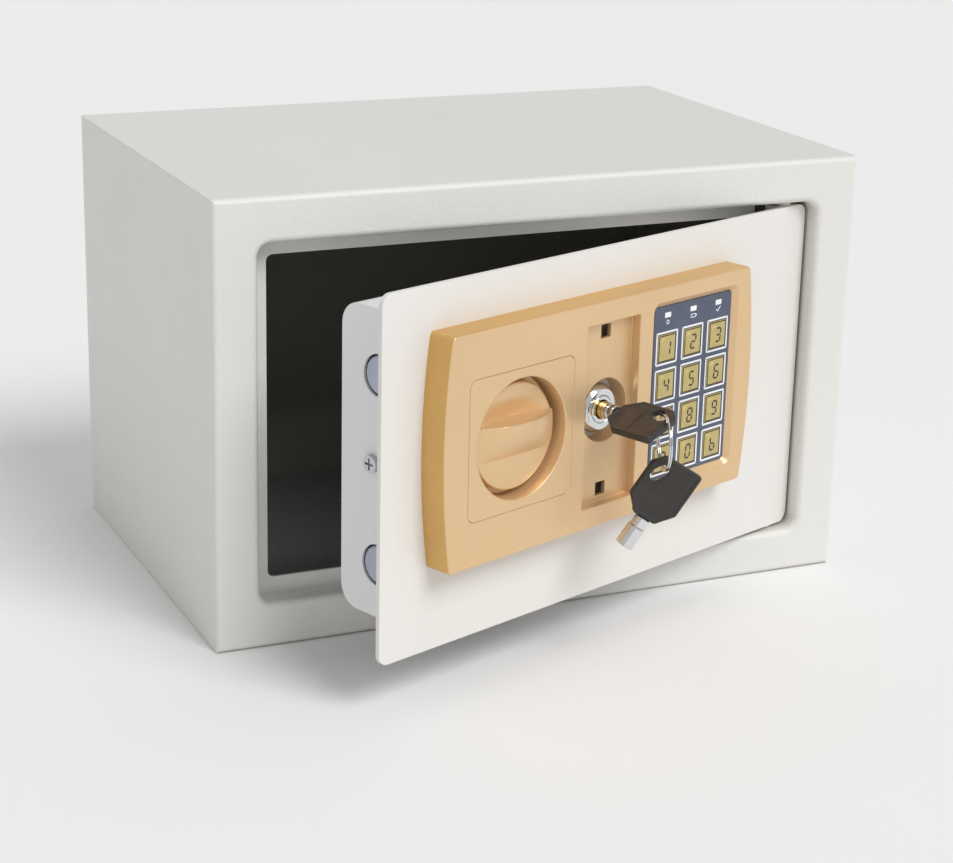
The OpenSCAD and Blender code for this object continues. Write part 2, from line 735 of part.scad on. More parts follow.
// Square insert with the round well that the knob turns in
module knob_bezel() {
    color([0.85, 0.68, 0.45]) on_door() difference() {
        union() {
            sheet(knob_x, fascia_z, bezel_w, bezel_h, bezel_r, face_y, wall_back_y);
            sheet(knob_x, fascia_z, bezel_w + 3, bezel_h + 3, bezel_r, wall_back_y,
                wall_back_y + bezel_lip);
            rod_y(knob_x, face_y + 1, well_floor_y + well_floor_t, fascia_z, well_d + 3);
        }
        rod_y(knob_x, face_y - 1, well_floor_y, fascia_z, well_d);
        rod_y(knob_x, face_y - 1, door_y, fascia_z, shaft_d + 2 * run_gap);
    }
}

// Centre of a keypad place: column 0 to 2 from the left, row 0 to 3 from the top
function button_x(column) = pad_x + (column - 1) * key_pitch_x;
function button_z(row) = keys_z + (1.5 - row) * key_pitch_z;

// Stepped label plate with a window for each key and each indicator
module keypad_label() {
    color([0.28, 0.3, 0.38]) on_door() difference() {
        sheet(pad_x, pad_z, pad_w - 2 * touch_gap, pad_h - 2 * touch_gap, 2 - touch_gap,
            pad_y, pad_y + label_t);
        for (column = [0 : 2], row = [0 : 3])
            sheet(button_x(column), button_z(row), key_w + 2 * key_gap, key_h + 2 * key_gap, 1,
                pad_y - 1, pad_y + label_t + 1);
        for (column = [0 : 2])
            sheet(button_x(column), led_z, led_w, led_h, 0.4, pad_y - 1, pad_y + label_t + 1);
    }
}

// Circuit board behind the keypad
module circuit_board() {
    color("darkgreen") on_door() difference() {
        block(pad_x - board_w / 2 + 1, pad_x + board_w / 2 - 1, board_y, board_y + board_t,
            pad_z - board_h / 2, pad_z + board_h / 2);
        for (column = [0 : 2])
            block(button_x(column) - 1, button_x(column) + 1, board_y - 1, board_y + board_t + 1,
                led_z - 1, led_z + 1);
    }
}

// Dome switches and indicators on the front; sounder, controller and connector behind
module board_parts() {
    back = board_y + board_t;
    color("gainsboro") on_door() {
        for (column = [0 : 2], row = [0 : 3])
            rod_y(button_x(column), board_y - 0.9, board_y, button_z(row), 5);
        for (column = [0 : 2])
            block(button_x(column) - 1, button_x(column) + 1, pad_y + 0.2, back, led_z - 1, led_z + 1);
        rod_y(pad_x - 16, back, door_y - 0.4, pad_z + 22, 12);
        block(pad_x - 6, pad_x + 6, back, back + 1.6, pad_z - 2, pad_z + 10);
        block(wire_x - 7, wire_x + 7, back, door_y - 0.4, wire_z + 6, wire_z + 12);
    }
}

// Leads to the battery box, the solenoid and the reset switch, from the board's connector
module wire_harness() {
    plug_y = door_y - 2;
    color("firebrick") on_door() {
        wire([[wire_x + 3, plug_y, wire_z + 6], [wire_x + 3, plug_y, wire_z], [wire_x + 3, box_y0 + 6, wire_z],
            [wire_x + 3, box_y0 + 6, box_z0]], wire_d);
        wire([[wire_x, plug_y, wire_z + 6], [wire_x, plug_y, wire_z], [wire_x, plunger_y, wire_z],
            [wire_x, plunger_y, solenoid_z0 + solenoid_h / 2],
            [plunger_x + solenoid_w / 2, plunger_y, solenoid_z0 + solenoid_h / 2]], wire_d);
        wire([[wire_x - 3, plug_y, wire_z + 6], [wire_x - 3, plug_y, wire_z - 3],
            [wire_x - 3, pan_inner_y - 8, wire_z - 3], [wire_x - 3, pan_inner_y - 8, reset_z],
            [reset_x - 5, pan_inner_y - 8, reset_z]], wire_d);
    }
}

// One sprung key: a cap that shows in the label's window and a flange behind it
module keypad_button(column, row) {
    x = button_x(column);
    z = button_z(row);
    back = pad_y + label_t;
    color([0.8, 0.74, 0.48]) on_door() {
        sheet(x, z, key_w, key_h, 0.8, pad_y - key_rise, back + 0.1);
        sheet(x, z, key_w + 2.4, key_h + 2.4, 0.8, back + 0.1, back + 0.1 + key_flange);
    }
}

module button_1() { keypad_button(0, 0); }
module button_2() { keypad_button(1, 0); }
module button_3() { keypad_button(2, 0); }
module button_4() { keypad_button(0, 1); }
module button_5() { keypad_button(1, 1); }
module button_6() { keypad_button(2, 1); }
module button_7() { keypad_button(0, 2); }
module button_8() { keypad_button(1, 2); }
module button_9() { keypad_button(2, 2); }
module button_a() { keypad_button(0, 3); }
module button_0() { keypad_button(1, 3); }
module button_b() { keypad_button(2, 3); }

// ---------------------------------------------------------------- knob and crank

// Round thumb-turn with a raised grip across it
module knob() {
    color([0.87, 0.7, 0.47]) on_door() {
        difference() {
            union() {
                rod_y(knob_x, knob_face_y, knob_face_y + knob_body_t, fascia_z, knob_d);
                intersection() {
                    translate([knob_x, knob_face_y - grip_rise + 60, fascia_z - grip_h / 2])
                        cylinder(h = grip_h, d = 120, $fn = 180);
                    rod_y(knob_x, knob_face_y - grip_rise, knob_face_y + 1, fascia_z, knob_d);
                }
            }
            rod_y(knob_x, knob_face_y + 1.5, knob_face_y + knob_body_t + 1, fascia_z, shaft_d);
        }
    }
}

// Steel shaft from the knob through the plate to the crank
module knob_shaft() {
    color("silver") on_door() rod_y(knob_x, knob_face_y + 1.5, cam_y0 + cam_t + 1, fascia_z, shaft_d);
}

// Nylon bush that carries the shaft in the plate
module knob_bush() {
    color("ivory") on_door() difference() {
        rod_y(knob_x, door_y, web_y0 - 0.6, fascia_z, shaft_d + 3);
        rod_y(knob_x, door_y - 1, web_y0, fascia_z, shaft_d + 2 * run_gap);
    }
}

// Crank disc whose pin drives the carriage
module knob_cam() {
    side = crank_r / sqrt(2);
    color([0.6, 0.61, 0.62]) on_door() difference() {
        union() {
            rod_y(knob_x, cam_y0, cam_y0 + cam_t, fascia_z, cam_d);
            rod_y(knob_x + side, web_y0 - 0.8, cam_y0, fascia_z + side, crank_pin_d);
        }
        rod_y(knob_x, cam_y0 - 1, cam_y0 + cam_t + 1, fascia_z, shaft_d);
    }
}

// ---------------------------------------------------------------- solenoid and plunger

// Square bracket that holds the coil against the plate
module solenoid_frame() {
    w = solenoid_w / 2;
    color([0.7, 0.7, 0.68]) on_door() difference() {
        block(plunger_x - w, plunger_x + w, plate_back, plunger_y + w, solenoid_z0,
            solenoid_z0 + solenoid_h);
        block(plunger_x - w - 1, plunger_x + w + 1, plate_back + solenoid_wall, plunger_y + w + 1,
            solenoid_z0 + solenoid_wall, solenoid_z0 + solenoid_h - solenoid_wall);
        rod_z(plunger_x, plunger_y, solenoid_z0 + solenoid_h / 2, solenoid_z0 + solenoid_h + 1,
            plunger_d + 2 * run_gap);
    }
}

// Wound coil inside the bracket
module solenoid_coil() {
    color([0.6, 0.32, 0.16]) on_door() difference() {
        rod_z(plunger_x, plunger_y, solenoid_z0 + solenoid_wall, solenoid_z0 + solenoid_h - solenoid_wall, 15.6);
        rod_z(plunger_x, plunger_y, solenoid_z0 + solenoid_wall + 2, solenoid_z0 + solenoid_h, plunger_d + 0.6);
    }
}

// Steel plunger with a collar for its spring
module plunger() {
    color("silver") on_door() {
        rod_z(plunger_x, plunger_y, solenoid_z0 + solenoid_wall + 3, tip_z, plunger_d);
        rod_z(plunger_x, plunger_y, collar_z, yoke_z, collar_d);
    }
}

// Points of a ring of wire at one place along the spring's helix
function spring_ring(turns, r, wire_r, z0, z1, sides, i, steps) = [
    for (k = [0 : sides - 1])
        let (a = 360 * turns * i / steps, b = 360 * k / sides, rho = r + wire_r * cos(b))
        [rho * cos(a), rho * sin(a), z0 + (z1 - z0) * i / steps + wire_r * sin(b)]
];

// Coil spring as one closed tube
module coil_spring(turns, r, wire_r, z0, z1, sides = 6, steps_per_turn = 14) {
    steps = turns * steps_per_turn;
    points = [for (i = [0 : steps]) each spring_ring(turns, r, wire_r, z0, z1, sides, i, steps)];
    walls = [for (i = [0 : steps - 1], k = [0 : sides - 1])
        let (a = i * sides + k, b = i * sides + (k + 1) % sides) [a, b, b + sides, a + sides]];
    start = [for (k = [0 : sides - 1]) sides - 1 - k];
    finish = [for (k = [0 : sides - 1]) steps * sides + k];
    polyhedron(points = points, faces = concat([start], walls, [finish]), convexity = 6);
}

// Spring that pushes the plunger out, between the bracket and the collar
module plunger_spring() {
    wire_r = 0.35;
    color("lightsteelblue") on_door() translate([plunger_x, plunger_y, 0])
        coil_spring(4, plunger_d / 2 + 0.9, wire_r, solenoid_z0 + solenoid_h + wire_r + 0.05,
            collar_z - wire_r - 0.05);
}

// Bent link from the plunger's collar up to the lock's eccentric pin
module plunger_yoke() {
    half = 4.5;
    arm_x1 = lock_x + 4;
    color([0.7, 0.71, 0.72]) on_door() difference() {
        union() {
            block(plunger_x - half, plunger_x + half, plunger_y - half, yoke_y + yoke_t, yoke_z, yoke_z + yoke_t);
            block(plunger_x - half, plunger_x + half, yoke_y, yoke_y + yoke_t, yoke_z, fascia_z + 5);
            block(plunger_x - half, arm_x1, yoke_y, yoke_y + yoke_t, fascia_z - 7, fascia_z + 5);
        }
        rod_z(plunger_x, plunger_y, yoke_z - 1, yoke_z + yoke_t + 1, plunger_d);
        block(lock_x - eccentric_r - eccentric_d / 2 - 0.4, lock_x - 0.1, yoke_y - 1, yoke_y + yoke_t + 1,
            fascia_z - plunger_travel / 2 - eccentric_d / 2 - yoke_play,
            fascia_z - plunger_travel / 2 + eccentric_d / 2 + yoke_play);
    }
}

// ---------------------------------------------------------------- override lock and keys

// Chromed lock body with its front collar resting on the plate
module lock_body() {
    color([0.82, 0.84, 0.87]) on_door() difference() {
        union() {
            rod_y(lock_x, lock_front_y, door_y, fascia_z, lock_collar_d);
            rod_y(lock_x, door_y, lock_rear_y, fascia_z, lock_barrel_d);
        }
        rod_y(lock_x, lock_front_y - 1, lock_rear_y + 1, fascia_z, plug_d + 2 * run_gap);
    }
}

// Hexagonal nut behind the plate
module lock_nut() {
    color("silver") on_door() difference() {
        rod_y_hex(lock_x, plate_back, plate_back + nut_t, fascia_z, lock_barrel_d + 8);
        rod_y(lock_x, plate_back - 1, plate_back + nut_t + 1, fascia_z, lock_barrel_d);
    }
}

module rod_y_hex(x, y0, y1, z, d) {
    translate([x, y1, z]) rotate([90, 0, 0]) cylinder(h = y1 - y0, d = d, $fn = 6);
}

// Turning plug with the round keyway of a tubular lock
module lock_plug() {
    color([0.75, 0.77, 0.8]) on_door() difference() {
        rod_y(lock_x, lock_front_y - 0.2, lock_rear_y + 0.2, fascia_z, plug_d);
        difference() {
            rod_y(lock_x, lock_front_y - 1, lock_front_y + groove_depth, fascia_z, groove_d);
            rod_y(lock_x, lock_front_y - 2, lock_front_y + groove_depth + 1, fascia_z, groove_post_d);
        }
    }
}

// Disc with an eccentric pin that lifts and lowers the plunger's yoke
module lock_cam() {
    side = eccentric_r / sqrt(2);
    color("silver") on_door() {
        rod_y(lock_x, lock_rear_y + 0.2, yoke_y - 0.8, fascia_z, plug_d - 2);
        rod_y(lock_x - side, yoke_y - 0.8, yoke_y + yoke_t + 0.8, fascia_z - side, eccentric_d);
    }
}

// Key coordinates: +Y runs from the head's root along the blade's axis, away from the lock
module key_shank() {
    difference() {
        union() {
            rotate([-90, 0, 0]) translate([0, 0, -tube_l])
                cylinder(h = tube_l - key_neck_l, d = key_tube_d);
            rotate([-90, 0, 0]) translate([0, 0, -key_neck_l - 1])
                cylinder(h = key_neck_l + 1, d = key_neck_d, $fn = 8);
            translate([-3, -1, -tang_t / 2]) cube([6, tang_l + 1, tang_t]);
        }
        rotate([-90, 0, 0]) translate([0, 0, -tube_l - 1])
            cylinder(h = tube_l - key_neck_l - 0.4, d = key_tube_bore);
        translate([-0.8, -tube_l - 1, 0]) cube([1.6, 2.4, key_tube_d]);
    }
}

// Angular plastic head with a slot for the ring near its outer left corner
module key_head() {
    w = 11.6;
    difference() {
        translate([0, 0, -key_head_t / 2]) linear_extrude(key_head_t) polygon([
            [-5.5, 0], [5.5, 0], [7, 2], [w, 6.5], [w, 23], [7, key_head_l],
            [1 - w, key_head_l], [-w, key_head_l - 1], [-w, 7.5], [-7, 2]]);
        translate([ring_side, ring_reach, 0]) rotate([0, 0, ring_angle]) translate([0, 0, -key_head_t])
            linear_extrude(2 * key_head_t) {
                for (s = [hole_near + hole_w / 2, hole_far - hole_w / 2])
                    translate([-s, 0]) circle(d = hole_w);
                translate([-hole_far + hole_w / 2, -hole_w / 2])
                    square([hole_far - hole_near - hole_w, hole_w]);
            }
        translate([-3, -1, -tang_t / 2]) cube([6, tang_l + 1, tang_t]);
    }
}

// The first key, in the lock
module in_lock() {
    on_door() translate([lock_x, door_y - key_start, fascia_z]) rotate([0, -key_tilt, 0])
        rotate([180, 0, 0]) children();
}

// The second key, hanging from the bottom of the ring
module on_ring() {
    on_door() translate([ring_cx, ring_cy, ring_cz - ring_mean_r]) rotate([0, 0, ring_azimuth + 90])
        rotate([0, key_two_lean, 0]) rotate([0, 0, 180]) rotate([90, 0, 0])
            translate([-hang_a, -hang_l, 0]) children();
}

module key_one_shank() { color([0.8, 0.78, 0.7]) in_lock() key_shank(); }

module key_one_head() { color([0.08, 0.08, 0.09]) in_lock() key_head(); }

module key_two_shank() { color([0.8, 0.78, 0.7]) on_ring() key_shank(); }

module key_two_head() { color([0.08, 0.08, 0.09]) on_ring() key_head(); }

// Steel ring through both key heads
module key_ring() {
    color("silver") on_door() translate([ring_cx, ring_cy, ring_cz]) rotate([0, 0, ring_azimuth])
        rotate([90, 0, 0]) rotate_extrude() translate([ring_mean_r, 0]) circle(d = ring_wire_d);
}

// ---------------------------------------------------------------- battery box and reset

// Open tray let into the pan, with a flange behind the sheet and eyes for the cover's barrel
module battery_box() {
    color([0.12, 0.12, 0.13]) on_door() difference() {
        union() {
            block(box_x0, box_x1, box_y0, box_y1, box_z0, box_z0 + box_h);
            block(box_x0 - 3, box_x1 + 3, pan_inner_y - 1.5, pan_inner_y, box_z0 - 3, box_z0 + box_h + 3);
        }
        block(box_x0 + box_wall, box_x1 - box_wall, box_y0 + box_wall, box_y1 + 1,
            box_z0 + box_wall, box_z0 + box_h - box_wall);
        rod_x(box_x0 + 1, box_x1 - 1, hinge_line_y, hinge_line_z, barrel_r * 1.2 + 2 * run_gap);
    }
}

// Nickel strips at both ends of the cells
module battery_contacts() {
    z0 = box_z0 + box_wall;
    z1 = box_z0 + box_h - box_wall;
    color("silver") on_door() for (i = [0 : cell_count - 1]) {
        block(cell_x(i) - 5, cell_x(i) + 5, cell_y - 4, cell_y + 4, z0, z0 + 0.5);
        block(cell_x(i) - 5, cell_x(i) + 5, cell_y - 4, cell_y + 4, z1 - 0.5, z1);
        rod_z(cell_x(i), cell_y, z0 + 0.5, (i % 2 == 0) ? cell_z0 : cell_z0 - 1, 5);
        rod_z(cell_x(i), cell_y, (i % 2 == 0) ? cell_z0 + cell_l + 1 : cell_z0 + cell_l, z1 - 0.5, 5);
    }
}

// Four round cells side by side, alternate ones turned over
module battery_cells() {
    color([0.2, 0.3, 0.5]) on_door() for (i = [0 : cell_count - 1]) {
        rod_z(cell_x(i), cell_y, cell_z0, cell_z0 + cell_l, cell_d);
        rod_z(cell_x(i), cell_y, (i % 2 == 0) ? cell_z0 + cell_l : cell_z0 - 1,
            (i % 2 == 0) ? cell_z0 + cell_l + 1 : cell_z0, 5.2);
    }
}

function cell_x(i) = box_x0 + box_w / 2 + (i - (cell_count - 1) / 2) * cell_pitch;

// Hinged plastic cover with its barrel along the bottom edge
module battery_cover() {
    x0 = box_x0 + box_wall + cover_gap;
    x1 = box_x1 - box_wall - cover_gap;
    color([0.14, 0.14, 0.15]) on_door() {
        block(x0, x1, hinge_line_y - barrel_r, hinge_line_y + barrel_r, hinge_line_z,
            box_z0 + box_h - box_wall - cover_gap);
        rod_x(x0, x1, hinge_line_y, hinge_line_z, 2 * barrel_r);
        rod_x(box_x0 + 1.2, box_x1 - 1.2, hinge_line_y, hinge_line_z, barrel_r * 1.2);
        block(x0 + 24, x1 - 24, hinge_line_y + barrel_r, hinge_line_y + barrel_r + 1.4,
            box_z0 + box_h - box_wall - 7, box_z0 + box_h - box_wall - 4);
    }
}

// Switch body behind the pan
module reset_switch() {
    color([0.1, 0.1, 0.11]) on_door() difference() {
        block(reset_x - 5, reset_x + 5, pan_inner_y - 11, pan_inner_y, reset_z - 5, reset_z + 5);
        rod_y(reset_x, pan_inner_y - 5 - reset_travel - 0.5, pan_inner_y + 1, reset_z,
            button_d + 2 * run_gap);
    }
}

// Sprung button that is pressed to set a new code
module reset_button() {
    color([0.75, 0.1, 0.08]) on_door()
        rod_y(reset_x, pan_inner_y - 5, pan_y + 2, reset_z, button_d);
}

body_wrap();
back_panel();
front_frame();
floor_mat();
hinge_pins();
door_plate();
hinge_lugs();
hinge_washers();
door_pan();
pan_brackets();
pan_screws();
bolt_guide();
guide_posts();
fascia();
fascia_screws();
knob_bezel();
keypad_label();
circuit_board();
board_parts();
wire_harness();
knob();
knob_shaft();
knob_bush();
knob_cam();
bolt_carriage();
upper_bolt();
lower_bolt();
bolt_screws();
solenoid_frame();
solenoid_coil();
plunger();
plunger_spring();
plunger_yoke();
lock_body();
lock_nut();
lock_plug();
lock_cam();
key_one_shank();
key_one_head();
key_ring();
key_two_shank();
key_two_head();
battery_box();
battery_contacts();
battery_cells();
battery_cover();
reset_switch();
reset_button();
button_1();
button_2();
button_3();
button_4();
button_5();
button_6();
button_7();
button_8();
button_9();
button_a();
button_0();
button_b();
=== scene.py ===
import json
import math

import bpy
import bmesh
from mathutils import Matrix, Vector
from mathutils.geometry import tessellate_polygon


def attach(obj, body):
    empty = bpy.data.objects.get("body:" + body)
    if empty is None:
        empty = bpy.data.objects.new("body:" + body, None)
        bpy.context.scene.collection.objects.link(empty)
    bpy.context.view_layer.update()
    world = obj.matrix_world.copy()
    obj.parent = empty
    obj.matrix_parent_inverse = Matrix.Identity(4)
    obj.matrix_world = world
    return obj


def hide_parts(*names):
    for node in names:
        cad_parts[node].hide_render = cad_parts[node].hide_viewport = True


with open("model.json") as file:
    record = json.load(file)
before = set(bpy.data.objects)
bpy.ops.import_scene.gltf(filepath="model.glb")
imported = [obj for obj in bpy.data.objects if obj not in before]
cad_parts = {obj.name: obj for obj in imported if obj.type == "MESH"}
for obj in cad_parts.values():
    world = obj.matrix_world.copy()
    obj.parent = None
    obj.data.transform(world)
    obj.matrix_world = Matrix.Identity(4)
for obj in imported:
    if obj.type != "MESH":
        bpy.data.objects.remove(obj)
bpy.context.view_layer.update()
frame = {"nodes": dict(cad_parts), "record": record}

MM = 0.001

# ------------------------------------------------------------------ camera

CAMERA_AT = (-0.43376, -0.981496, 0.399511)
CAMERA_AXES = (
    (0.913145, 0.105572, -0.393726),
    (-0.40702, 0.289129, -0.866452),
    (0.022365, 0.951451, 0.306987),
)
LENS = 86.716


def make_camera():
    data = bpy.data.cameras.new("camera")
    data.sensor_width = 36.0
    data.sensor_fit = "HORIZONTAL"
    data.lens = LENS
    data.clip_start = 0.02
    data.clip_end = 30
    camera = bpy.data.objects.new("camera", data)
    bpy.context.collection.objects.link(camera)
    camera.matrix_world = Matrix.Translation(CAMERA_AT) @ Matrix(CAMERA_AXES).to_4x4()
    bpy.context.scene.camera = camera


make_camera()

# ------------------------------------------------------------------ places taken from the frame

DOOR_JOINT = next(j for j in frame["record"]["behaviour"]["joints"] if j["name"] == "door_swing")
HINGE = Vector((DOOR_JOINT["pos_m"][0], DOOR_JOINT["pos_m"][1], 0))
AJAR = math.radians(-DOOR_JOINT["range_deg"][0])
SWING = Matrix.Translation(HINGE) @ Matrix.Rotation(AJAR, 4, "Z") @ Matrix.Translation(-HINGE)
SHUT = SWING.inverted()


class Box:
    """Box of a CAD node in millimetres; door nodes are measured with the door shut."""

    def __init__(self, node, on_door=True):
        turn = SHUT if on_door else Matrix.Identity(4)
        points = [turn @ v.co for v in frame["nodes"][node].data.vertices]
        low = [min(p[i] for p in points) / MM for i in range(3)]
        high = [max(p[i] for p in points) / MM for i in range(3)]
        self.x0, self.y0, self.z0 = low
        self.x1, self.y1, self.z1 = high
        self.cx, self.cy, self.cz = ((a + b) / 2 for a, b in zip(low, high))
        self.w, self.d, self.h = (b - a for a, b in zip(low, high))


# ------------------------------------------------------------------ mesh tools


def loop_offset(points, distance):
    """Closed 2D loop, anticlockwise, moved inwards by distance along mitred normals."""
    out = []
    count = len(points)
    for i, p in enumerate(points):
        a, b = points[i - 1], points[(i + 1) % count]
        d1 = Vector((p[0] - a[0], p[1] - a[1]))
        d2 = Vector((b[0] - p[0], b[1] - p[1]))
        d1.normalize()
        d2.normalize()
        n1, n2 = Vector((-d1.y, d1.x)), Vector((-d2.y, d2.x))
        n = n1 + n2
        n.normalize()
        scale = distance / max(0.3, n.dot(n1))
        out.append((p[0] + n.x * scale, p[1] + n.y * scale))
    return out


def rounded_rect(cx, cz, w, h, r, steps=8):
    points = []
    for sx, sz, start in ((1, -1, -90), (1, 1, 0), (-1, 1, 90), (-1, -1, 180)):
        for i in range(steps + 1):
            a = math.radians(start + 90 * i / steps)
            points.append((cx + sx * (w / 2 - r) + r * math.cos(a), cz + sz * (h / 2 - r) + r * math.sin(a)))
    return points


def ring_points(cx, cz, r, count=96):
    return [(cx + r * math.cos(2 * math.pi * i / count), cz + r * math.sin(2 * math.pi * i / count))
            for i in range(count)]


def round_corners(points, r, steps=5):
    """Rounds every corner of a polygon with radius r, less where its sides are short."""
    out = []
    count = len(points)
    for i in range(count):
        p = Vector(points[i])
        a, b = Vector(points[i - 1]), Vector(points[(i + 1) % count])
        u, v = (a - p), (b - p)
        lu, lv = u.length, v.length
        u.normalize()
        v.normalize()
        half = math.acos(max(-1, min(1, u.dot(v)))) / 2
        cut = min(r / math.tan(half), lu * 0.45, lv * 0.45)
        rr = cut * math.tan(half)
        middle = u + v
        if middle.length < 1e-6:
            out.append(tuple(p))
            continue
        centre = p + middle.normalized() * (rr / math.sin(half))
        start, end = p + u * cut - centre, p + v * cut - centre
        a0, a1 = math.atan2(start.y, start.x), math.atan2(end.y, end.x)
        turn = (a1 - a0 + math.pi) % (2 * math.pi) - math.pi
        for k in range(steps + 1):
            t = a0 + turn * k / steps
            out.append((centre.x + rr * math.cos(t), centre.y + rr * math.sin(t)))
    return out


def fillet(r, y0, into=1, steps=5):
    """(inset, y) pairs round an edge from the flat face at y0 down to its side."""
    pairs = [(r + 0.4, y0), (r, y0)]
    for i in range(1, steps + 1):
        a = math.pi / 2 * i / steps
        pairs.append((r - r * math.sin(a), y0 + into * (r - r * math.cos(a))))
    return pairs


class Mesh:
    """Vertices and faces in millimetres, built up ring by ring."""

    def __init__(self):
        self.v = []
        self.f = []
        self.m = []

    def ring(self, points, y):
        """Adds a loop of (x, z) points at depth y."""
        return self.points([(x, y, z) for x, z in points])

    def points(self, points):
        start = len(self.v)
        self.v.extend(tuple(p) for p in points)
        return list(range(start, start + len(points)))

    def bridge(self, a, b, slot=0):
        count = len(a)
        for i in range(count):
            j = (i + 1) % count
            self.face((a[i], a[j], b[j], b[i]), slot)

    def face(self, ids, slot=0):
        self.f.append(tuple(ids))
        self.m.append(slot)

    def stack(self, rings, slot=0):
        for a, b in zip(rings, rings[1:]):
            self.bridge(a, b, slot)

    def fill(self, outer, holes=(), slot=0):
        """Flat face between a ring and its holes."""
        rings = [outer, *holes]
        flat = [i for ring in rings for i in ring]
        spread = [max(self.v[i][k] for i in flat) - min(self.v[i][k] for i in flat) for k in range(3)]
        drop = spread.index(min(spread))
        keep = [k for k in range(3) if k != drop]
        polys = [[Vector((self.v[i][keep[0]], self.v[i][keep[1]], 0)) for i in ring] for ring in rings]
        for tri in tessellate_polygon(polys):
            self.face([flat[i] for i in tri], slot)

    def loft(self, loop, pairs, slot=0, outward=False):
        """Rings of one loop at (inset, y) pairs; outward insets grow a hole's loop."""
        sign = -1 if outward else 1
        rings = [self.ring(loop_offset(loop, sign * inset) if abs(inset) > 1e-9 else loop, y)
                 for inset, y in pairs]
        self.stack(rings, slot)
        return rings

    def build(self, name, body, materials, nodes=(), at=SWING, sharp=35):
        mesh = bpy.data.meshes.new(name)
        mesh.from_pydata([at @ (Vector(p) * MM) for p in self.v], [], self.f)
        for material in materials:
            mesh.materials.append(material)
        for polygon, index in zip(mesh.polygons, self.m):
            polygon.material_index = index
        work = bmesh.new()
        work.from_mesh(mesh)
        bmesh.ops.remove_doubles(work, verts=work.verts, dist=2e-6)
        bmesh.ops.dissolve_degenerate(work, edges=work.edges, dist=1e-6)
        bmesh.ops.recalc_face_normals(work, faces=work.faces)
        work.to_mesh(mesh)
        work.free()
        mesh.polygons.foreach_set("use_smooth", [True] * len(mesh.polygons))
        mesh.set_sharp_from_angle(angle=math.radians(sharp))
        piece = bpy.data.objects.new(name, mesh)
        bpy.context.collection.objects.link(piece)
        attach(piece, body)
        if nodes:
            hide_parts(*nodes)
        return piece


# ------------------------------------------------------------------ materials


class Nodes:
    """Short hand for building one material's node tree."""

    def __init__(self, name, **values):
        self.material = bpy.data.materials.new(name)
        self.material.use_nodes = True
        self.tree = self.material.node_tree
        self.shader = self.tree.nodes["Principled BSDF"]
        self.where = self.add("ShaderNodeTexCoord").outputs["Object"]
        for key, value in values.items():
            self.set(key, value)

    def set(self, key, value):
        socket = self.shader.inputs[key.replace("_", " ")]
        if isinstance(value, bpy.types.NodeSocket):
            self.tree.links.new(value, socket)
        elif isinstance(value, tuple) and len(value) == 3:
            socket.default_value = (*value, 1)
        else:
            socket.default_value = value

    def add(self, kind, inputs=None, **settings):
        node = self.tree.nodes.new(kind)
        for key, value in settings.items():
            setattr(node, key, value)
        for key, value in (inputs or {}).items():
            socket = node.inputs[key]
            if isinstance(value, bpy.types.NodeSocket):
                self.tree.links.new(value, socket)
            elif isinstance(value, tuple) and len(value) == 3 and socket.type == "RGBA":
                socket.default_value = (*value, 1)
            else:
                socket.default_value = value
        return node

    def stretched(self, scale):
        return self.add("ShaderNodeMapping", {"Vector": self.where, "Scale": scale}).outputs["Vector"]

    def noise(self, scale, detail=3.0, rough=0.55, vector=None):
        values = {"Vector": vector or self.where, "Scale": scale, "Detail": detail, "Roughness": rough}
        return self.add("ShaderNodeTexNoise", values).outputs["Fac"]

    def cells(self, scale, feature="SMOOTH_F1"):
        return self.add("ShaderNodeTexVoronoi", {"Vector": self.where, "Scale": scale},
                        feature=feature).outputs["Distance"]

    def math(self, kind, a, b=0.0):
        return self.add("ShaderNodeMath", {0: a, 1: b}, operation=kind).outputs[0]

    def spread(self, value, low, high, from_low=0.3, from_high=0.7):
        values = {"Value": value, "From Min": from_low, "From Max": from_high, "To Min": low, "To Max": high}
        return self.add("ShaderNodeMapRange", values).outputs[0]

    def mix(self, amount, a, b, blend="MIX"):
        node = self.add("ShaderNodeMix", data_type="RGBA", blend_type=blend)
        colour_in = [s for s in node.inputs if s.type == "RGBA"]
        for socket, value in ((node.inputs[0], amount), (colour_in[0], a), (colour_in[1], b)):
            if isinstance(value, bpy.types.NodeSocket):
                self.tree.links.new(value, socket)
            else:
                socket.default_value = (*value, 1) if isinstance(value, tuple) else value
        return next(s for s in node.outputs if s.type == "RGBA")

    def bump(self, height, distance):
        inputs = {"Height": height, "Distance": distance, "Strength": 1.0}
        self.set("Normal", self.add("ShaderNodeBump", inputs).outputs["Normal"])


def paint(name, light, dark, rough, orange_peel, inside=None):
    """Powder coat with a fine orange-peel texture and faint handling marks; inside, when given, is a darker
    painted shade colour for the cabinet's interior.
    """
    n = Nodes(name)
    cloud = n.noise(9, 3)
    colour = n.mix(n.spread(cloud, 0, 1), dark, light)
    speck = n.spread(n.noise(1500, 2), 0, 0.05, 0.62, 0.78)
    colour = n.mix(speck, colour, (0.35, 0.34, 0.32))
    if inside:
        # painted shade: the cabinet's interior takes the darker inside colour in place of the shadow inside
        # the box
        colour = n.mix(interior_shade_mask(n), colour, inside)
    n.set("Base Color", colour)
    n.set("Roughness", n.spread(n.noise(60, 4), rough - 0.05, rough + 0.07))
    n.set("Specular IOR Level", 0.45)
    height = n.math("ADD", n.math("MULTIPLY", n.noise(520, 3, 0.6), 1.0),
                    n.math("MULTIPLY", n.cells(900), 0.5))
    n.bump(height, orange_peel)
    return n.material


ROLL_DEPTH = 14.2


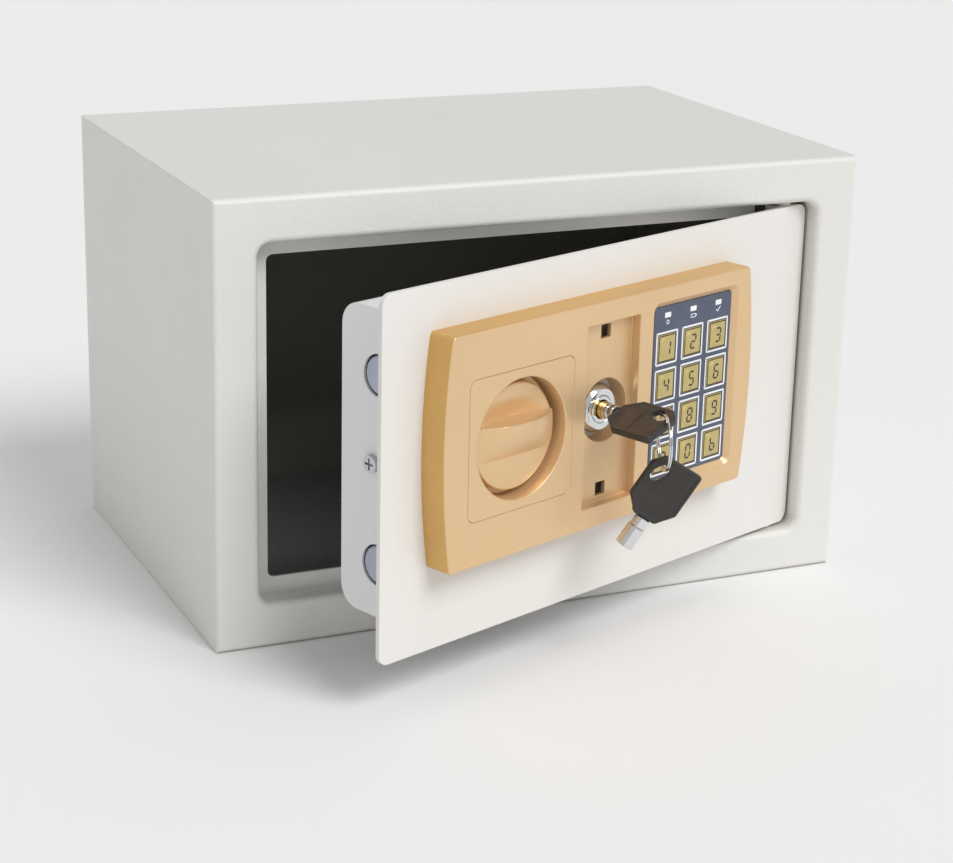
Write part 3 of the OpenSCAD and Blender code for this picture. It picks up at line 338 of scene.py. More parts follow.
def interior_shade_mask(n):
    """1 within the cabinet's sheet, where the interior gets its painted shade colour; 0 on its outer faces
    and on the opening's edge.
    """
    b = CABINET
    axes = n.add("ShaderNodeSeparateXYZ", {"Vector": n.where}).outputs
    half_x = b.w / 2 * MM - 0.0007
    mask = n.math("LESS_THAN", n.math("ABSOLUTE", axes["X"]), half_x)
    for axis, low, high in (("Y", (FRAME_BOX.y0 + ROLL_DEPTH) * MM, (b.y1 - 0.7) * MM),
                            ("Z", (b.z0 + 0.7) * MM, (b.z1 - 0.7) * MM)):
        mask = n.math("MULTIPLY", mask, n.math("GREATER_THAN", axes[axis], low))
        mask = n.math("MULTIPLY", mask, n.math("LESS_THAN", axes[axis], high))
    return mask


CABINET = Box("body_wrap", False)
FRAME_BOX = Box("front_frame", False)


def gold_plastic(name, light, dark):
    """Satin gold lacquer on moulded plastic: a metallic flake under a soft clear coat."""
    n = Nodes(name, Metallic=0.55, Coat_Weight=0.25, Coat_Roughness=0.22)
    n.set("Base Color", n.mix(n.spread(n.noise(14, 3), 0, 1), light, dark))
    flake = n.cells(2600, "F1")
    n.set("Roughness", n.math("ADD", n.spread(n.noise(45, 4), 0.36, 0.46), n.spread(flake, -0.03, 0.05)))
    n.bump(n.math("ADD", n.noise(1800, 2, 0.7), n.math("MULTIPLY", n.noise(160, 2), 0.7)), 0.00002)
    return n.material


def metal(name, colour, rough, streak=(1, 1, 1), scale=300, bump=0.000006, spots=0.0):
    """Plated or brushed metal; streak stretches its fine scratches."""
    n = Nodes(name, Metallic=1.0)
    grain = n.noise(scale, 4, 0.6, n.stretched(streak))
    stain = n.noise(70, 3)
    dull = tuple(c * 0.8 for c in colour)
    n.set("Base Color", n.mix(n.spread(stain, 0, 0.35 + spots), colour, dull))
    base = n.spread(grain, rough - 0.04, rough + 0.08)
    n.set("Roughness", n.math("ADD", base, n.spread(stain, 0, spots * 0.3)))
    n.bump(grain, bump)
    return n.material


def plastic(name, colour, rough, grain=900, bump=0.00004, coat=0.0):
    """Moulded plastic with a fine spark-eroded grain."""
    n = Nodes(name, Coat_Weight=coat, Coat_Roughness=0.15)
    soft = tuple(min(1, c * 1.35 + 0.004) for c in colour)
    n.set("Base Color", n.mix(n.spread(n.noise(40, 4), 0, 1), colour, soft))
    n.set("Roughness", n.spread(n.noise(120, 3), rough - 0.05, rough + 0.08))
    n.bump(n.math("ADD", n.noise(grain, 3, 0.65), n.cells(grain * 1.4, "F1")), bump)
    return n.material


def felt_material(name):
    """Needled felt: dark grey matted fibres with a few pale ones."""
    n = Nodes(name, Sheen_Weight=0.35, Sheen_Roughness=0.6)
    fibres = n.noise(900, 6, 0.75)
    tufts = n.noise(180, 4, 0.7)
    colour = n.mix(n.spread(fibres, 0, 1), (0.05, 0.052, 0.055), (0.24, 0.245, 0.255))
    colour = n.mix(n.spread(tufts, 0, 0.6), colour, (0.12, 0.123, 0.128))
    n.set("Base Color", colour)
    n.set("Roughness", n.spread(fibres, 0.85, 1.0))
    n.bump(n.math("ADD", n.math("MULTIPLY", fibres, 0.5), tufts), 0.0009)
    return n.material


# the last colour is painted shade for the cabinet's interior, the same cream paint darkened
PAINT = paint("cabinet_paint", (0.765, 0.757, 0.725), (0.74, 0.732, 0.70), 0.42, 0.00016, (0.30, 0.285, 0.24))
DOOR_PAINT = paint("door_paint", (0.79, 0.775, 0.745), (0.77, 0.755, 0.725), 0.38, 0.00007)
PAN_PAINT = paint("pan_paint", (0.80, 0.79, 0.80), (0.78, 0.77, 0.78), 0.36, 0.00005)
GOLD = gold_plastic("gold_plastic", (0.80, 0.56, 0.315), (0.76, 0.53, 0.295))
# painted shade: a darker, more saturated copy of the same gold lacquer for the fascia's sides
GOLD_SHADED_SIDE = gold_plastic("gold_side_painted_shade", (0.72, 0.44, 0.14), (0.67, 0.40, 0.12))
CHROME = metal("lock_chrome", (0.78, 0.79, 0.81), 0.10)
BOLT = metal("bolt_chrome", (0.42, 0.45, 0.53), 0.30, (1, 1, 1), 500, 0.00001, 0.2)
ZINC = metal("zinc_steel", (0.60, 0.61, 0.62), 0.34, (1, 8, 8), 240, 0.00002, 0.3)
BRASS = metal("key_brass", (0.72, 0.46, 0.16), 0.22, (1, 1, 1), 420)
KEY_BLACK = plastic("key_plastic", (0.019, 0.0155, 0.0135), 0.40, 1100, 0.00003, 0.15)
LABEL = plastic("label_film", (0.058, 0.072, 0.118), 0.34, 700, 0.000008, 0.2)
WHITE_INK = plastic("white_ink", (0.80, 0.81, 0.83), 0.4, 900, 0.000004)
BLACK_INK = plastic("black_ink", (0.02, 0.02, 0.018), 0.4, 900, 0.000004)
BLACK = plastic("black_plastic", (0.016, 0.016, 0.018), 0.45, 900, 0.00005)
NYLON = plastic("nylon", (0.72, 0.70, 0.62), 0.45, 600, 0.00002)
BOARD = plastic("board_green", (0.012, 0.10, 0.04), 0.35, 500, 0.00002, 0.3)
WIRE = plastic("wire_red", (0.42, 0.02, 0.015), 0.35, 500, 0.00001)
CELL = plastic("cell_wrap", (0.03, 0.06, 0.20), 0.25, 300, 0.000005, 0.5)
COPPER = metal("copper_coil", (0.62, 0.25, 0.10), 0.3, (1, 1, 40), 150, 0.00012)
RESET = plastic("reset_red", (0.55, 0.02, 0.012), 0.3, 700, 0.00001, 0.3)
FELT = felt_material("felt")


def key_gold(name):
    """Metallic gold ink under clear film."""
    n = Nodes(name, Metallic=0.35, Coat_Weight=0.5, Coat_Roughness=0.12)
    n.set("Base Color", n.mix(n.spread(n.noise(300, 3), 0, 1), (0.52, 0.41, 0.145), (0.57, 0.455, 0.175)))
    n.set("Roughness", n.spread(n.noise(800, 3), 0.34, 0.46))
    n.bump(n.noise(900, 2), 0.00001)
    return n.material


KEY_GOLD = key_gold("key_gold")

# ------------------------------------------------------------------ fascia

FASCIA = Box("fascia")
BEZEL = Box("knob_bezel")
LABEL_BOX = Box("keypad_label")
LOCK = Box("lock_body")
KNOB = Box("knob")
FACE_Y = FASCIA.y0
SIDE_W = 184.6
BULGE = (FASCIA.w - SIDE_W) / 2
WELL_R = 26.0
LOCK_WELL_R = 14.0
LIP_DEPTH, WELL_DEPTH, HUB_R = 2.5, 10.8, 4.06
RECESS_CX = FASCIA.cx + 2.5
RECESS_W, RECESS_H, RECESS_D = 33.0, 81.0, 4.8
CLIP_W, CLIP_Z = 6.0, 35.1
BEZEL_W, BEZEL_H, BEZEL_R = 61.0, 60.4, 4.0
PAD_X, PAD_Z, PAD_W, PAD_H = LABEL_BOX.cx, LABEL_BOX.cz, 52.0, 79.0


def fascia_outline():
    """Flat top and bottom, sides bulging outwards, small corner radii."""
    half_w, half_h = SIDE_W / 2, FASCIA.h / 2
    r = (half_h ** 2 + BULGE ** 2) / (2 * BULGE)
    sweep = math.asin(half_h / r)
    steps = 40
    right = [(FASCIA.cx + half_w + BULGE - r + r * math.cos(a), FASCIA.cz + r * math.sin(a))
             for a in (-sweep + 2 * sweep * i / steps for i in range(steps + 1))]
    left = [(2 * FASCIA.cx - x, 2 * FASCIA.cz - z) for x, z in right]
    loop = []
    for side in (right, left):
        first = corner_arc(side[0], side[1], side is right, True)
        last = corner_arc(side[-1], side[-2], side is right, False)
        loop += first + side[1:-1] + last
    return loop


def corner_arc(corner, near, is_right, entering):
    """Short curve from the straight edge round to the bulging side."""
    reach = 1.6
    along = (corner[0] + (-reach if is_right else reach), corner[1])
    points = []
    for i in range(6):
        t = i / 6
        a = (1 - t) ** 2, 2 * t * (1 - t), t * t
        points.append((a[0] * along[0] + a[1] * corner[0] + a[2] * near[0],
                       a[0] * along[1] + a[1] * corner[1] + a[2] * near[1]))
    return points if entering else points[::-1]


def make_fascia():
    m = Mesh()
    outline = fascia_outline()
    back = FASCIA.y1
    outer = m.loft(outline, [(1.5, FACE_Y), (1.1, FACE_Y), (0.8, FACE_Y + 0.05), (0.5, FACE_Y + 0.16),
                             (0.28, FACE_Y + 0.4)])
    # the sides and back edge use slot 1, the gold copy with painted shade
    sides = m.loft(outline, [(0.28, FACE_Y + 0.4), (0.17, FACE_Y + 0.8), (0.15, FACE_Y + 1.2),
                             (0.0, back - 0.5), (0.0, back)], slot=1)
    wall = 2.5
    inner = m.loft(outline, [(wall + 0.3, back), (wall + 0.3, FACE_Y + wall)])
    m.bridge(sides[-1], inner[0], 1)

    # square opening for the knob's insert
    square = rounded_rect(BEZEL.cx, BEZEL.cz, BEZEL_W + 0.2, BEZEL_H + 0.2, BEZEL_R, 8)
    bezel_hole = m.loft(square, fillet(0.2, FACE_Y, 1, 3) + [(0, FACE_Y + wall)], outward=True)

    # recess for the lock cover, with its lock well and two clip slots
    recess = rounded_rect(RECESS_CX, FASCIA.cz, RECESS_W, RECESS_H, 0.6, 3)
    floor_y = FACE_Y + RECESS_D
    recess_wall = fillet(0.3, FACE_Y, 1, 3) + [(0, floor_y - 0.3), (-0.3, floor_y)]
    recess_rings = m.loft(recess, recess_wall, outward=True)
    well = ring_points(LOCK.cx, LOCK.cz, LOCK_WELL_R, 96)
    well_rings = m.loft(well, fillet(0.35, floor_y, 1, 4) + [(0, back)], outward=True)
    clips = []
    for s in (-1, 1):
        slot = rounded_rect(RECESS_CX, FASCIA.cz + s * CLIP_Z, CLIP_W, CLIP_W, 0.4, 2)
        clips.append(m.loft(slot, fillet(0.15, floor_y, 1, 2) + [(0, floor_y + 2.0)], outward=True))
    m.fill(recess_rings[-1], [well_rings[0], clips[0][0], clips[1][0]])

    # keypad pocket with sloping walls and a ledge for the label
    pocket = rounded_rect(PAD_X, PAD_Z, PAD_W, PAD_H, 2, 6)
    slope = 2.4
    ledge, under = LABEL_BOX.y0, LABEL_BOX.y1
    pocket_wall = [(slope + 0.7, FACE_Y), (slope + 0.35, FACE_Y), (slope + 0.1, FACE_Y + 0.1),
                   (slope - 0.1, FACE_Y + 0.3), (0.2, ledge + 0.1), (0, ledge + 0.3),
                   (0, under), (-1.5, under), (-1.5, under + 1.2)]
    pocket_rings = m.loft(pocket, pocket_wall, outward=True)
    m.fill(outer[0], [bezel_hole[0], recess_rings[0], pocket_rings[0]])

    # inside faces: the hollow's ceiling with the walls round each recess
    recess_out = m.loft(recess, [(1.8, FACE_Y + wall), (1.8, floor_y + 2.0)], outward=True)
    well_out = m.loft(well, [(1.7, floor_y + 2.0), (1.7, back)], outward=True)
    pocket_out = m.loft(pocket, [(2.0, FACE_Y + wall), (2.0, LABEL_BOX.y1 + 1.2)], outward=True)
    m.fill(inner[-1], [bezel_hole[-1], recess_out[0], pocket_out[0]])
    m.fill(recess_out[-1], [well_out[0], clips[0][-1], clips[1][-1]])
    m.fill(pocket_out[-1], [pocket_rings[-1]])
    m.bridge(well_rings[-1], well_out[-1])
    m.build("fascia_shell", "door", [GOLD, GOLD_SHADED_SIDE], ["fascia"])


make_fascia()


def make_bezel():
    """Square insert: a rim groove, then the round well down to its floor with the shaft hole."""
    m = Mesh()
    square = rounded_rect(BEZEL.cx, BEZEL.cz, BEZEL_W, BEZEL_H, BEZEL_R, 8)
    flange = rounded_rect(BEZEL.cx, BEZEL.cz, BEZEL_W + 3, BEZEL_H + 3, BEZEL_R, 8)
    lip_y = FACE_Y + LIP_DEPTH
    front = m.loft(square, [(0.6, FACE_Y), (0.3, FACE_Y), (0.1, FACE_Y + 0.08), (0.03, FACE_Y + 0.25),
                            (0, lip_y)])
    skirt = m.loft(flange, [(0, lip_y), (0, lip_y + 1.2)])
    m.bridge(front[-1], skirt[0])
    well = ring_points(KNOB.cx, KNOB.cz, WELL_R, 160)
    floor_y = FACE_Y + WELL_DEPTH
    well_rings = m.loft(well, fillet(0.5, FACE_Y, 1, 4) + [(0, floor_y - 0.8), (-0.25, floor_y - 0.25),
                                                          (-0.8, floor_y)], outward=True)
    hub = ring_points(KNOB.cx, KNOB.cz, HUB_R, 64)
    hub_rings = m.loft(hub, [(0, floor_y), (0, floor_y + 1.6)])
    m.fill(front[0], [well_rings[0]])
    m.fill(well_rings[-1], [hub_rings[0]])
    tube = ring_points(KNOB.cx, KNOB.cz, WELL_R + 1.5, 160)
    tube_rings = m.loft(tube, [(0, lip_y + 1.2), (0, floor_y + 1.6)])
    m.fill(skirt[-1], [tube_rings[0]])
    m.fill(tube_rings[-1], [hub_rings[-1]])
    m.build("knob_bezel_insert", "door", [GOLD], ["knob_bezel"])


make_bezel()

# ------------------------------------------------------------------ knob

KNOB_R = KNOB.w / 2
GRIP_RISE = 6.6
SCOOP = 3.2
KNOB_FACE = KNOB.y0 + GRIP_RISE


def smooth(t):
    t = max(0.0, min(1.0, t))
    return t * t * (3 - 2 * t)


def grip_height(x, z):
    """Rise of the knob's face: a bowed ridge with a crisp upper edge, hollowed above it."""
    bow = max(0.0, 1 - (x / KNOB_R) ** 2)
    top, low = 8.0, -8.2
    if z > top:
        depth = SCOOP * bow * (1 - smooth((z - top) / 11.0))
        return -depth
    if z > top - 0.7:
        return GRIP_RISE * bow * smooth((top - z) / 0.7) - SCOOP * bow * (1 - smooth((top - z) / 0.7))
    t = (top - 0.7 - z) / (top - 0.7 - low)
    if t >= 1:
        return 0.0
    return GRIP_RISE * bow * (1 - t ** 2.1)


def make_knob():
    m = Mesh()
    radii = []
    count = 240
    steps = 86
    edge = 0.9
    for i in range(steps + 1):
        radii.append((KNOB_R - edge) * (i / steps) ** 0.9)
    rings = []
    for r in radii[1:]:
        points = []
        for k in range(count):
            a = 2 * math.pi * k / count
            x, z = r * math.cos(a), r * math.sin(a)
            points.append((KNOB.cx + x, KNOB_FACE - grip_height(x, z), KNOB.cz + z))
        rings.append(m.points(points))
    for k in range(1, 7):
        a = math.pi / 2 * k / 6
        r = KNOB_R - edge + edge * math.sin(a)
        drop = edge - edge * math.cos(a)
        points = []
        for j in range(count):
            b = 2 * math.pi * j / count
            x, z = r * math.cos(b), r * math.sin(b)
            points.append((KNOB.cx + x, KNOB_FACE - grip_height(x, z) + drop, KNOB.cz + z))
        rings.append(m.points(points))
    centre = m.points([(KNOB.cx, KNOB_FACE - grip_height(0, 0), KNOB.cz)])[0]
    for k in range(count):
        m.face((centre, rings[0][(k + 1) % count], rings[0][k]))
    m.stack(rings)
    rim = m.ring(ring_points(KNOB.cx, KNOB.cz, KNOB_R, count), KNOB.y1 - 0.4)
    m.bridge(rings[-1], rim)
    under = m.ring(ring_points(KNOB.cx, KNOB.cz, KNOB_R - 0.4, count), KNOB.y1)
    m.bridge(rim, under)
    bore = m.ring(ring_points(KNOB.cx, KNOB.cz, 4.0, count), KNOB.y1)
    bore_end = m.ring(ring_points(KNOB.cx, KNOB.cz, 4.0, count), KNOB_FACE + 1.5)
    m.bridge(under, bore)
    m.bridge(bore, bore_end)
    m.fill(bore_end)
    m.build("thumb_knob", "knob", [GOLD], ["knob"], sharp=50)


make_knob()

# ------------------------------------------------------------------ keypad

SEGMENTS = {
    "1": "bc", "2": "abged", "3": "abgcd", "4": "fgbc", "5": "afgcd", "6": "afgedc",
    "7": "abc", "8": "abcdefg", "9": "abcdfg", "0": "abcdef", "a": "abcefg", "b": "fgedc",
}


def segment_bars(digit, cx, cz, w, h, t, slant=0.1):
    """Quads of a seven-segment figure, each bar with pointed ends."""
    x0, x1 = -w / 2, w / 2
    ends = {
        "a": ((x0, h / 2), (x1, h / 2)), "g": ((x0, 0), (x1, 0)), "d": ((x0, -h / 2), (x1, -h / 2)),
        "b": ((x1, h / 2), (x1, 0)), "c": ((x1, 0), (x1, -h / 2)),
        "f": ((x0, h / 2), (x0, 0)), "e": ((x0, 0), (x0, -h / 2)),
    }
    for name in SEGMENTS[digit]:
        (ax, az), (bx, bz) = ends[name]
        d = Vector((bx - ax, bz - az)).normalized()
        n = Vector((-d.y, d.x)) * t / 2
        gap = t * 0.28
        a = Vector((ax, az)) + d * gap
        b = Vector((bx, bz)) - d * gap
        tip = d * t / 2
        loop = [a, a + tip - n, b - tip - n, b, b - tip + n, a + tip + n]
        yield [(cx + p.x + slant * p.y, cz + p.y) for p in loop]


def make_button(name, digit):
    box = Box(name)
    m = Mesh()
    film = LABEL_BOX.y0
    cap_w, cap_h = box.w - 2.4, box.h - 2.4
    cap = rounded_rect(box.cx, box.cz, cap_w, cap_h, 0.8, 4)
    back = LABEL_BOX.y1 + 0.1
    face = film - 0.32
    rings = m.loft(cap, [(0.8, face), (0.55, face), (0.25, face + 0.06), (0.06, face + 0.22),
                         (0, face + 0.45), (0, back)])
    flange = rounded_rect(box.cx, box.cz, box.w, box.h, 0.8, 4)
    skirt = m.loft(flange, [(0, back), (0, box.y1)])
    m.bridge(rings[-1], skirt[0])
    m.fill(skirt[-1])

    # pressed dome on the cap
    dome_r = 4.9
    profile = [(dome_r, 0.0), (dome_r - 0.12, 0.10), (dome_r - 0.35, 0.22), (dome_r - 0.7, 0.28),
               (dome_r * 0.6, 0.36), (dome_r * 0.3, 0.42), (0.3, 0.44)]
    dome = [m.ring(ring_points(box.cx, box.cz, r, 64), face - rise) for r, rise in profile]
    m.fill(rings[0], [dome[0]])
    m.stack(dome)
    m.fill(dome[-1])

    # dark outline printed on the cap and the figure on its dome
    line = 0.5
    outer_line = m.ring(loop_offset(cap, 0.27), face - 0.02)
    inner_line = m.ring(loop_offset(cap, 0.27 + line), face - 0.02)
    outer_low = m.ring(loop_offset(cap, 0.27), face + 0.03)
    inner_low = m.ring(loop_offset(cap, 0.27 + line), face + 0.03)
    for a, b in ((outer_line, inner_line), (outer_low, inner_low),
                 (outer_line, outer_low), (inner_line, inner_low)):
        m.bridge(a, b, 1)
    for loop in segment_bars(digit, box.cx, box.cz, 2.9, 6.0, 0.78):
        ink_y = face - 0.47
        top = m.ring(loop, ink_y)
        low = m.ring(loop, face - 0.2)
        m.bridge(top, low, 1)
        m.face(top, 1)
        m.face(low[::-1], 1)
    m.build(f"{name}_cap", name, [KEY_GOLD, BLACK_INK], [name])
    return box


KEYS = {f"button_{d}": d for d in "1234567890ab"}
KEY_BOXES = {name: make_button(name, digit) for name, digit in KEYS.items()}


def print_ring(m, outer, inner, y, slot, thick=0.05):
    """Closed printed line between two loops."""
    rings = [m.ring(outer, y), m.ring(inner, y), m.ring(inner, y + thick), m.ring(outer, y + thick)]
    for a, b in zip(rings, rings[1:] + rings[:1]):
        m.bridge(a, b, slot)


def print_patch(m, loop, y, slot, thick=0.05):
    top, low = m.ring(loop, y), m.ring(loop, y + thick)
    m.bridge(top, low, slot)
    m.face(top, slot)
    m.face(low[::-1], slot)


def make_label():
    m = Mesh()
    b = LABEL_BOX
    y = b.y0
    outline = rounded_rect(b.cx, b.cz, b.w, b.h, 1.85, 6)
    outer = m.loft(outline, [(0.4, y), (0.1, y), (0, y + 0.1), (0, b.y1)])
    holes = []
    for box in KEY_BOXES.values():
        window = rounded_rect(box.cx, box.cz, box.w - 2.0, box.h - 2.0, 1, 4)
        holes.append(m.loft(window, [(0.02, y), (0, y + 0.05), (0, b.y1)], outward=True))
    lens = []
    for name in ("button_1", "button_2", "button_3"):
        box = KEY_BOXES[name]
        lens.append((box.cx, b.cz + 35.2))
    for x, z in lens:
        window = rounded_rect(x, z, 4.2, 2.4, 0.4, 3)
        holes.append(m.loft(window, [(0.02, y), (0, y + 0.05), (0, b.y1)], outward=True))
    m.fill(outer[0], [h[0] for h in holes])
    m.fill(outer[-1], [h[-1] for h in holes])
    for box in KEY_BOXES.values():
        frame_loop = rounded_rect(box.cx, box.cz, 14.2, 15.0, 0.3, 3)
        print_ring(m, frame_loop, loop_offset(frame_loop, 0.85), y - 0.03, 1)

    # generic marks under the three indicators: ring, cell outline, tick
    z = b.cz + 32.0
    print_ring(m, ring_points(lens[0][0], z, 1.0, 24), ring_points(lens[0][0], z, 0.62, 24), y - 0.03, 1)
    cell = rounded_rect(lens[1][0], z, 3.4, 1.7, 0.25, 2)
    print_ring(m, cell, loop_offset(cell, 0.35), y - 0.03, 1)
    print_patch(m, rounded_rect(lens[1][0] + 2.0, z, 0.5, 0.8, 0.1, 2), y - 0.03, 1)
    tx = lens[2][0]
    print_patch(m, [(tx - 1.5, z + 0.1), (tx - 0.5, z - 1.1), (tx + 1.6, z + 1.1), (tx + 1.3, z + 1.4),
                    (tx - 0.5, z - 0.45), (tx - 1.2, z + 0.4)], y - 0.03, 1)
    for x, lens_z in lens:
        patch = rounded_rect(x, lens_z, 4.1, 2.3, 0.35, 3)
        print_patch(m, patch, y + 0.1, 1, 0.4)
    m.build("keypad_film", "door", [LABEL, WHITE_INK], ["keypad_label"])


make_label()

# ------------------------------------------------------------------ lock

PLUG = Box("lock_plug")


def make_lock():
    m = Mesh()
    cx, cz = LOCK.cx, LOCK.cz
    y0, y1 = LOCK.y0, LOCK.y1
    seat = Box("door_plate").y0
    bore = 6.06
    profile = [(bore, y1), (bore, y0 + 0.4), (bore + 0.3, y0 + 0.1), (bore + 0.7, y0), (8.6, y0),
               (8.9, y0 + 0.08), (10.2, y0 + 1.5), (10.6, y0 + 2.1), (10.8, y0 + 2.9), (11.0, y0 + 3.4),
               (11.0, seat - 0.3),
               (10.8, seat), (9.0, seat)]
    y = seat
    while y < y1 - 2.0:
        profile += [(9.0, y), (9.0, y + 0.35), (8.6, y + 0.6), (8.6, y + 0.7), (9.0, y + 0.95)]
        y += 1.0
    profile += [(9.0, y1 - 0.6), (8.5, y1), (bore, y1)]
    rings = [m.ring(ring_points(cx, cz, r, 128), yy) for r, yy in profile]
    m.stack(rings)
    m.build("lock_barrel", "door", [CHROME], ["lock_body"], sharp=28)

    # plug with its round keyway and the notch the key's tooth enters by
    m = Mesh()
    p0, p1 = PLUG.y0, PLUG.y1
    r = PLUG.w / 2
    groove_out, groove_in, groove_end = 4.1, 2.8, p0 + 8.2
    profile = [(0.02, p0 + 0.35), (1.1, p0 + 0.35), (1.3, p0 + 0.1), (1.6, p0), (groove_in - 0.3, p0),
               (groove_in, p0 + 0.25), (groove_in, groove_end), (groove_out, groove_end),
               (groove_out, p0 + 0.3),
               (groove_out + 0.3, p0), (r - 0.4, p0), (r, p0 + 0.3), (r, p1 - 0.3), (r - 0.3, p1), (0.02, p1)]
    rings = [m.ring(ring_points(cx, cz, rr, 96), yy) for rr, yy in profile]
    m.stack(rings)
    m.face(rings[0])
    m.face(rings[-1])
    m.build("lock_plug_face", "lock_plug", [CHROME], ["lock_plug"], sharp=28)


make_lock()

# ------------------------------------------------------------------ keys and ring

KEY_START, KEY_TILT, RING_SIDE, RING_REACH, RING_ANGLE = 15.0, 17.0, 2.6, 25.5, 119.0
KEY_TWO_LEAN, HOLE_W, HOLE_NEAR, HOLE_FAR, RING_R, WIRE_D = 33.0, 5.6, 1.7, 10.8, 11.4, 1.6
RING_TURN = 7.0
HEAD_T, HEAD_L, HEAD_W = 3.4, 28.0, 11.6
LINE_HALF = 0.16
DOOR_Y = Box("door_plate").y0
RING_BOX = Box("key_ring")
TUBE_L = (LOCK.y0 + 8.0 - 1.6) - DOOR_Y + KEY_START


def spin(degrees, axis):
    return Matrix.Rotation(math.radians(degrees), 4, axis)


def shift(x, y, z):
    return Matrix.Translation((x * MM, y * MM, z * MM))


IN_LOCK = SWING @ shift(LOCK.cx, DOOR_Y - KEY_START, LOCK.cz) @ spin(-KEY_TILT, "Y") @ spin(180, "X")
HOLE_S = HOLE_NEAR + HOLE_W / 2
HANG_A = RING_SIDE - HOLE_S * math.cos(math.radians(RING_ANGLE)) + 0.9 * math.sin(math.radians(KEY_TWO_LEAN))
HANG_L = RING_REACH - HOLE_S * math.sin(math.radians(RING_ANGLE)) + 0.9 * math.cos(math.radians(KEY_TWO_LEAN))
ON_RING = (SWING @ shift(RING_BOX.cx, RING_BOX.cy, RING_BOX.cz - RING_R)
           @ spin(-RING_ANGLE - RING_TURN + 90, "Z")
           @ spin(KEY_TWO_LEAN, "Y") @ spin(180, "Z") @ spin(90, "X") @ shift(-HANG_A, -HANG_L, 0))
# key meshes are drawn with (x, depth, y): this turns the drawing's depth axis into the key's thickness
FLAT = Matrix(((1, 0, 0, 0), (0, 0, 1, 0), (0, -1, 0, 0), (0, 0, 0, 1)))


def head_outline():
    w = HEAD_W
    points = [(-5.5, 0), (5.5, 0), (7, 2), (w, 6.5), (w, 23), (7, HEAD_L), (1 - w, HEAD_L), (-w, HEAD_L - 1),
              (-w, 7.5), (-7, 2)]
    return round_corners(points, 2.2, 5)


def slot_loop():
    """Outline of the ring's slot, anticlockwise."""
    a = math.radians(RING_ANGLE)
    u = Vector((-math.cos(a), -math.sin(a)))
    v = Vector((-u.y, u.x))
    base = Vector((RING_SIDE, RING_REACH))
    near, far = HOLE_NEAR + HOLE_W / 2, HOLE_FAR - HOLE_W / 2
    loop = []
    for centre, start in ((base + u * far, -90), (base + u * near, 90)):
        for i in range(13):
            t = math.radians(start + 180 * i / 12)
            p = centre + u * math.cos(t) * HOLE_W / 2 + v * math.sin(t) * HOLE_W / 2
            loop.append((p.x, p.y))
    return loop


def make_key(which, at, body):
    half = HEAD_T / 2
    place = at @ FLAT
    m = Mesh()
    outline = head_outline()
    hole = slot_loop()

    # a raised rim, a slightly sunk panel and rounded edges on both faces
    def face_pairs(sign):
        return [(0.0, sign * 0.75), (0.02, sign * (half - 0.75)), (0.2, sign * (half - 0.3)),
                (0.5, sign * (half - 0.07)), (0.85, sign * half), (1.5, sign * half),
                (1.75, sign * (half - 0.1)),
                (1.95, sign * (half - 0.28)), (2.5, sign * (half - 0.3))]

    rings = {}
    for sign in (-1, 1):
        rings[sign] = m.loft(outline, face_pairs(sign))
    m.bridge(rings[-1][0], rings[1][0])
    hole_rings = m.loft(hole, [(0.35, -half + 0.3), (0.1, -half + 0.42), (0, -half + 0.7), (0, half - 0.7),
                               (0.1, half - 0.42), (0.35, half - 0.3)], outward=True)
    for sign, ring in ((-1, hole_rings[0]), (1, hole_rings[-1])):
        m.fill(rings[sign][-1], [ring])

    # fine moulded line across each panel
    for sign in (-1, 1):
        a, b = Vector((-8.6, 14.0)), Vector((6.3, 12.6))
        d = (b - a).normalized()
        n = Vector((-d.y, d.x)) * LINE_HALF
        loop = [a - n, b - n, b + n, a + n]
        low, top = sign * (half - 0.4), sign * (half - 0.14)
        ring_low = m.ring([(p.x, p.y) for p in loop], low)
        ring_top = m.ring([(p.x, p.y) for p in loop], top)
        m.bridge(ring_low, ring_top)
        m.face(ring_top)
        m.face(ring_low)
    m.build(f"key_{which}_bow", body, [KEY_BLACK], [f"key_{which}_head"], at=place, sharp=32)

    # tube, faceted collar and tang; drawn about the key's own +Y
    m = Mesh()
    turn = at @ Matrix.Rotation(math.pi, 4, "Z")
    outer, inner = (3.7 if which == "one" else 4.0), 3.0
    tube = [(inner, 4.8), (inner, TUBE_L - 0.25), (inner + 0.2, TUBE_L), (outer - 0.25, TUBE_L),
            (outer, TUBE_L - 0.25), (outer, 4.9), (outer - 0.3, 4.6), (outer - 1.0, 4.6)]
    tube_rings = [m.ring(ring_points(0, 0, r, 72), y) for r, y in tube]
    m.stack(tube_rings)
    m.fill(tube_rings[0])
    m.fill(tube_rings[-1])
    plating = BRASS if which == "one" else CHROME
    m.build(f"key_{which}_tube", body, [plating], at=turn, sharp=28)

    m = Mesh()
    flats = 8
    collar = []
    for r, y in ((2.2, -0.02), (3.0, -0.02), (3.3, 0.3), (3.35, 0.8), (3.35, 3.9), (3.2, 4.4), (3.0, 4.6),
                 (2.2, 4.65)):
        loop = [(r / math.cos(math.pi / flats) * 0.96 * math.cos(2 * math.pi * (k + 0.5) / flats),
                 r / math.cos(math.pi / flats) * 0.96 * math.sin(2 * math.pi * (k + 0.5) / flats))
                for k in range(flats)]
        collar.append(m.ring(round_corners(loop, 0.5, 2), y))
    m.stack(collar)
    m.fill(collar[0])
    m.fill(collar[-1])
    m.build(f"key_{which}_collar", body, [CHROME], [f"key_{which}_shank"], at=turn, sharp=24)


make_key("one", IN_LOCK, "key_one")
make_key("two", ON_RING, "key_two")


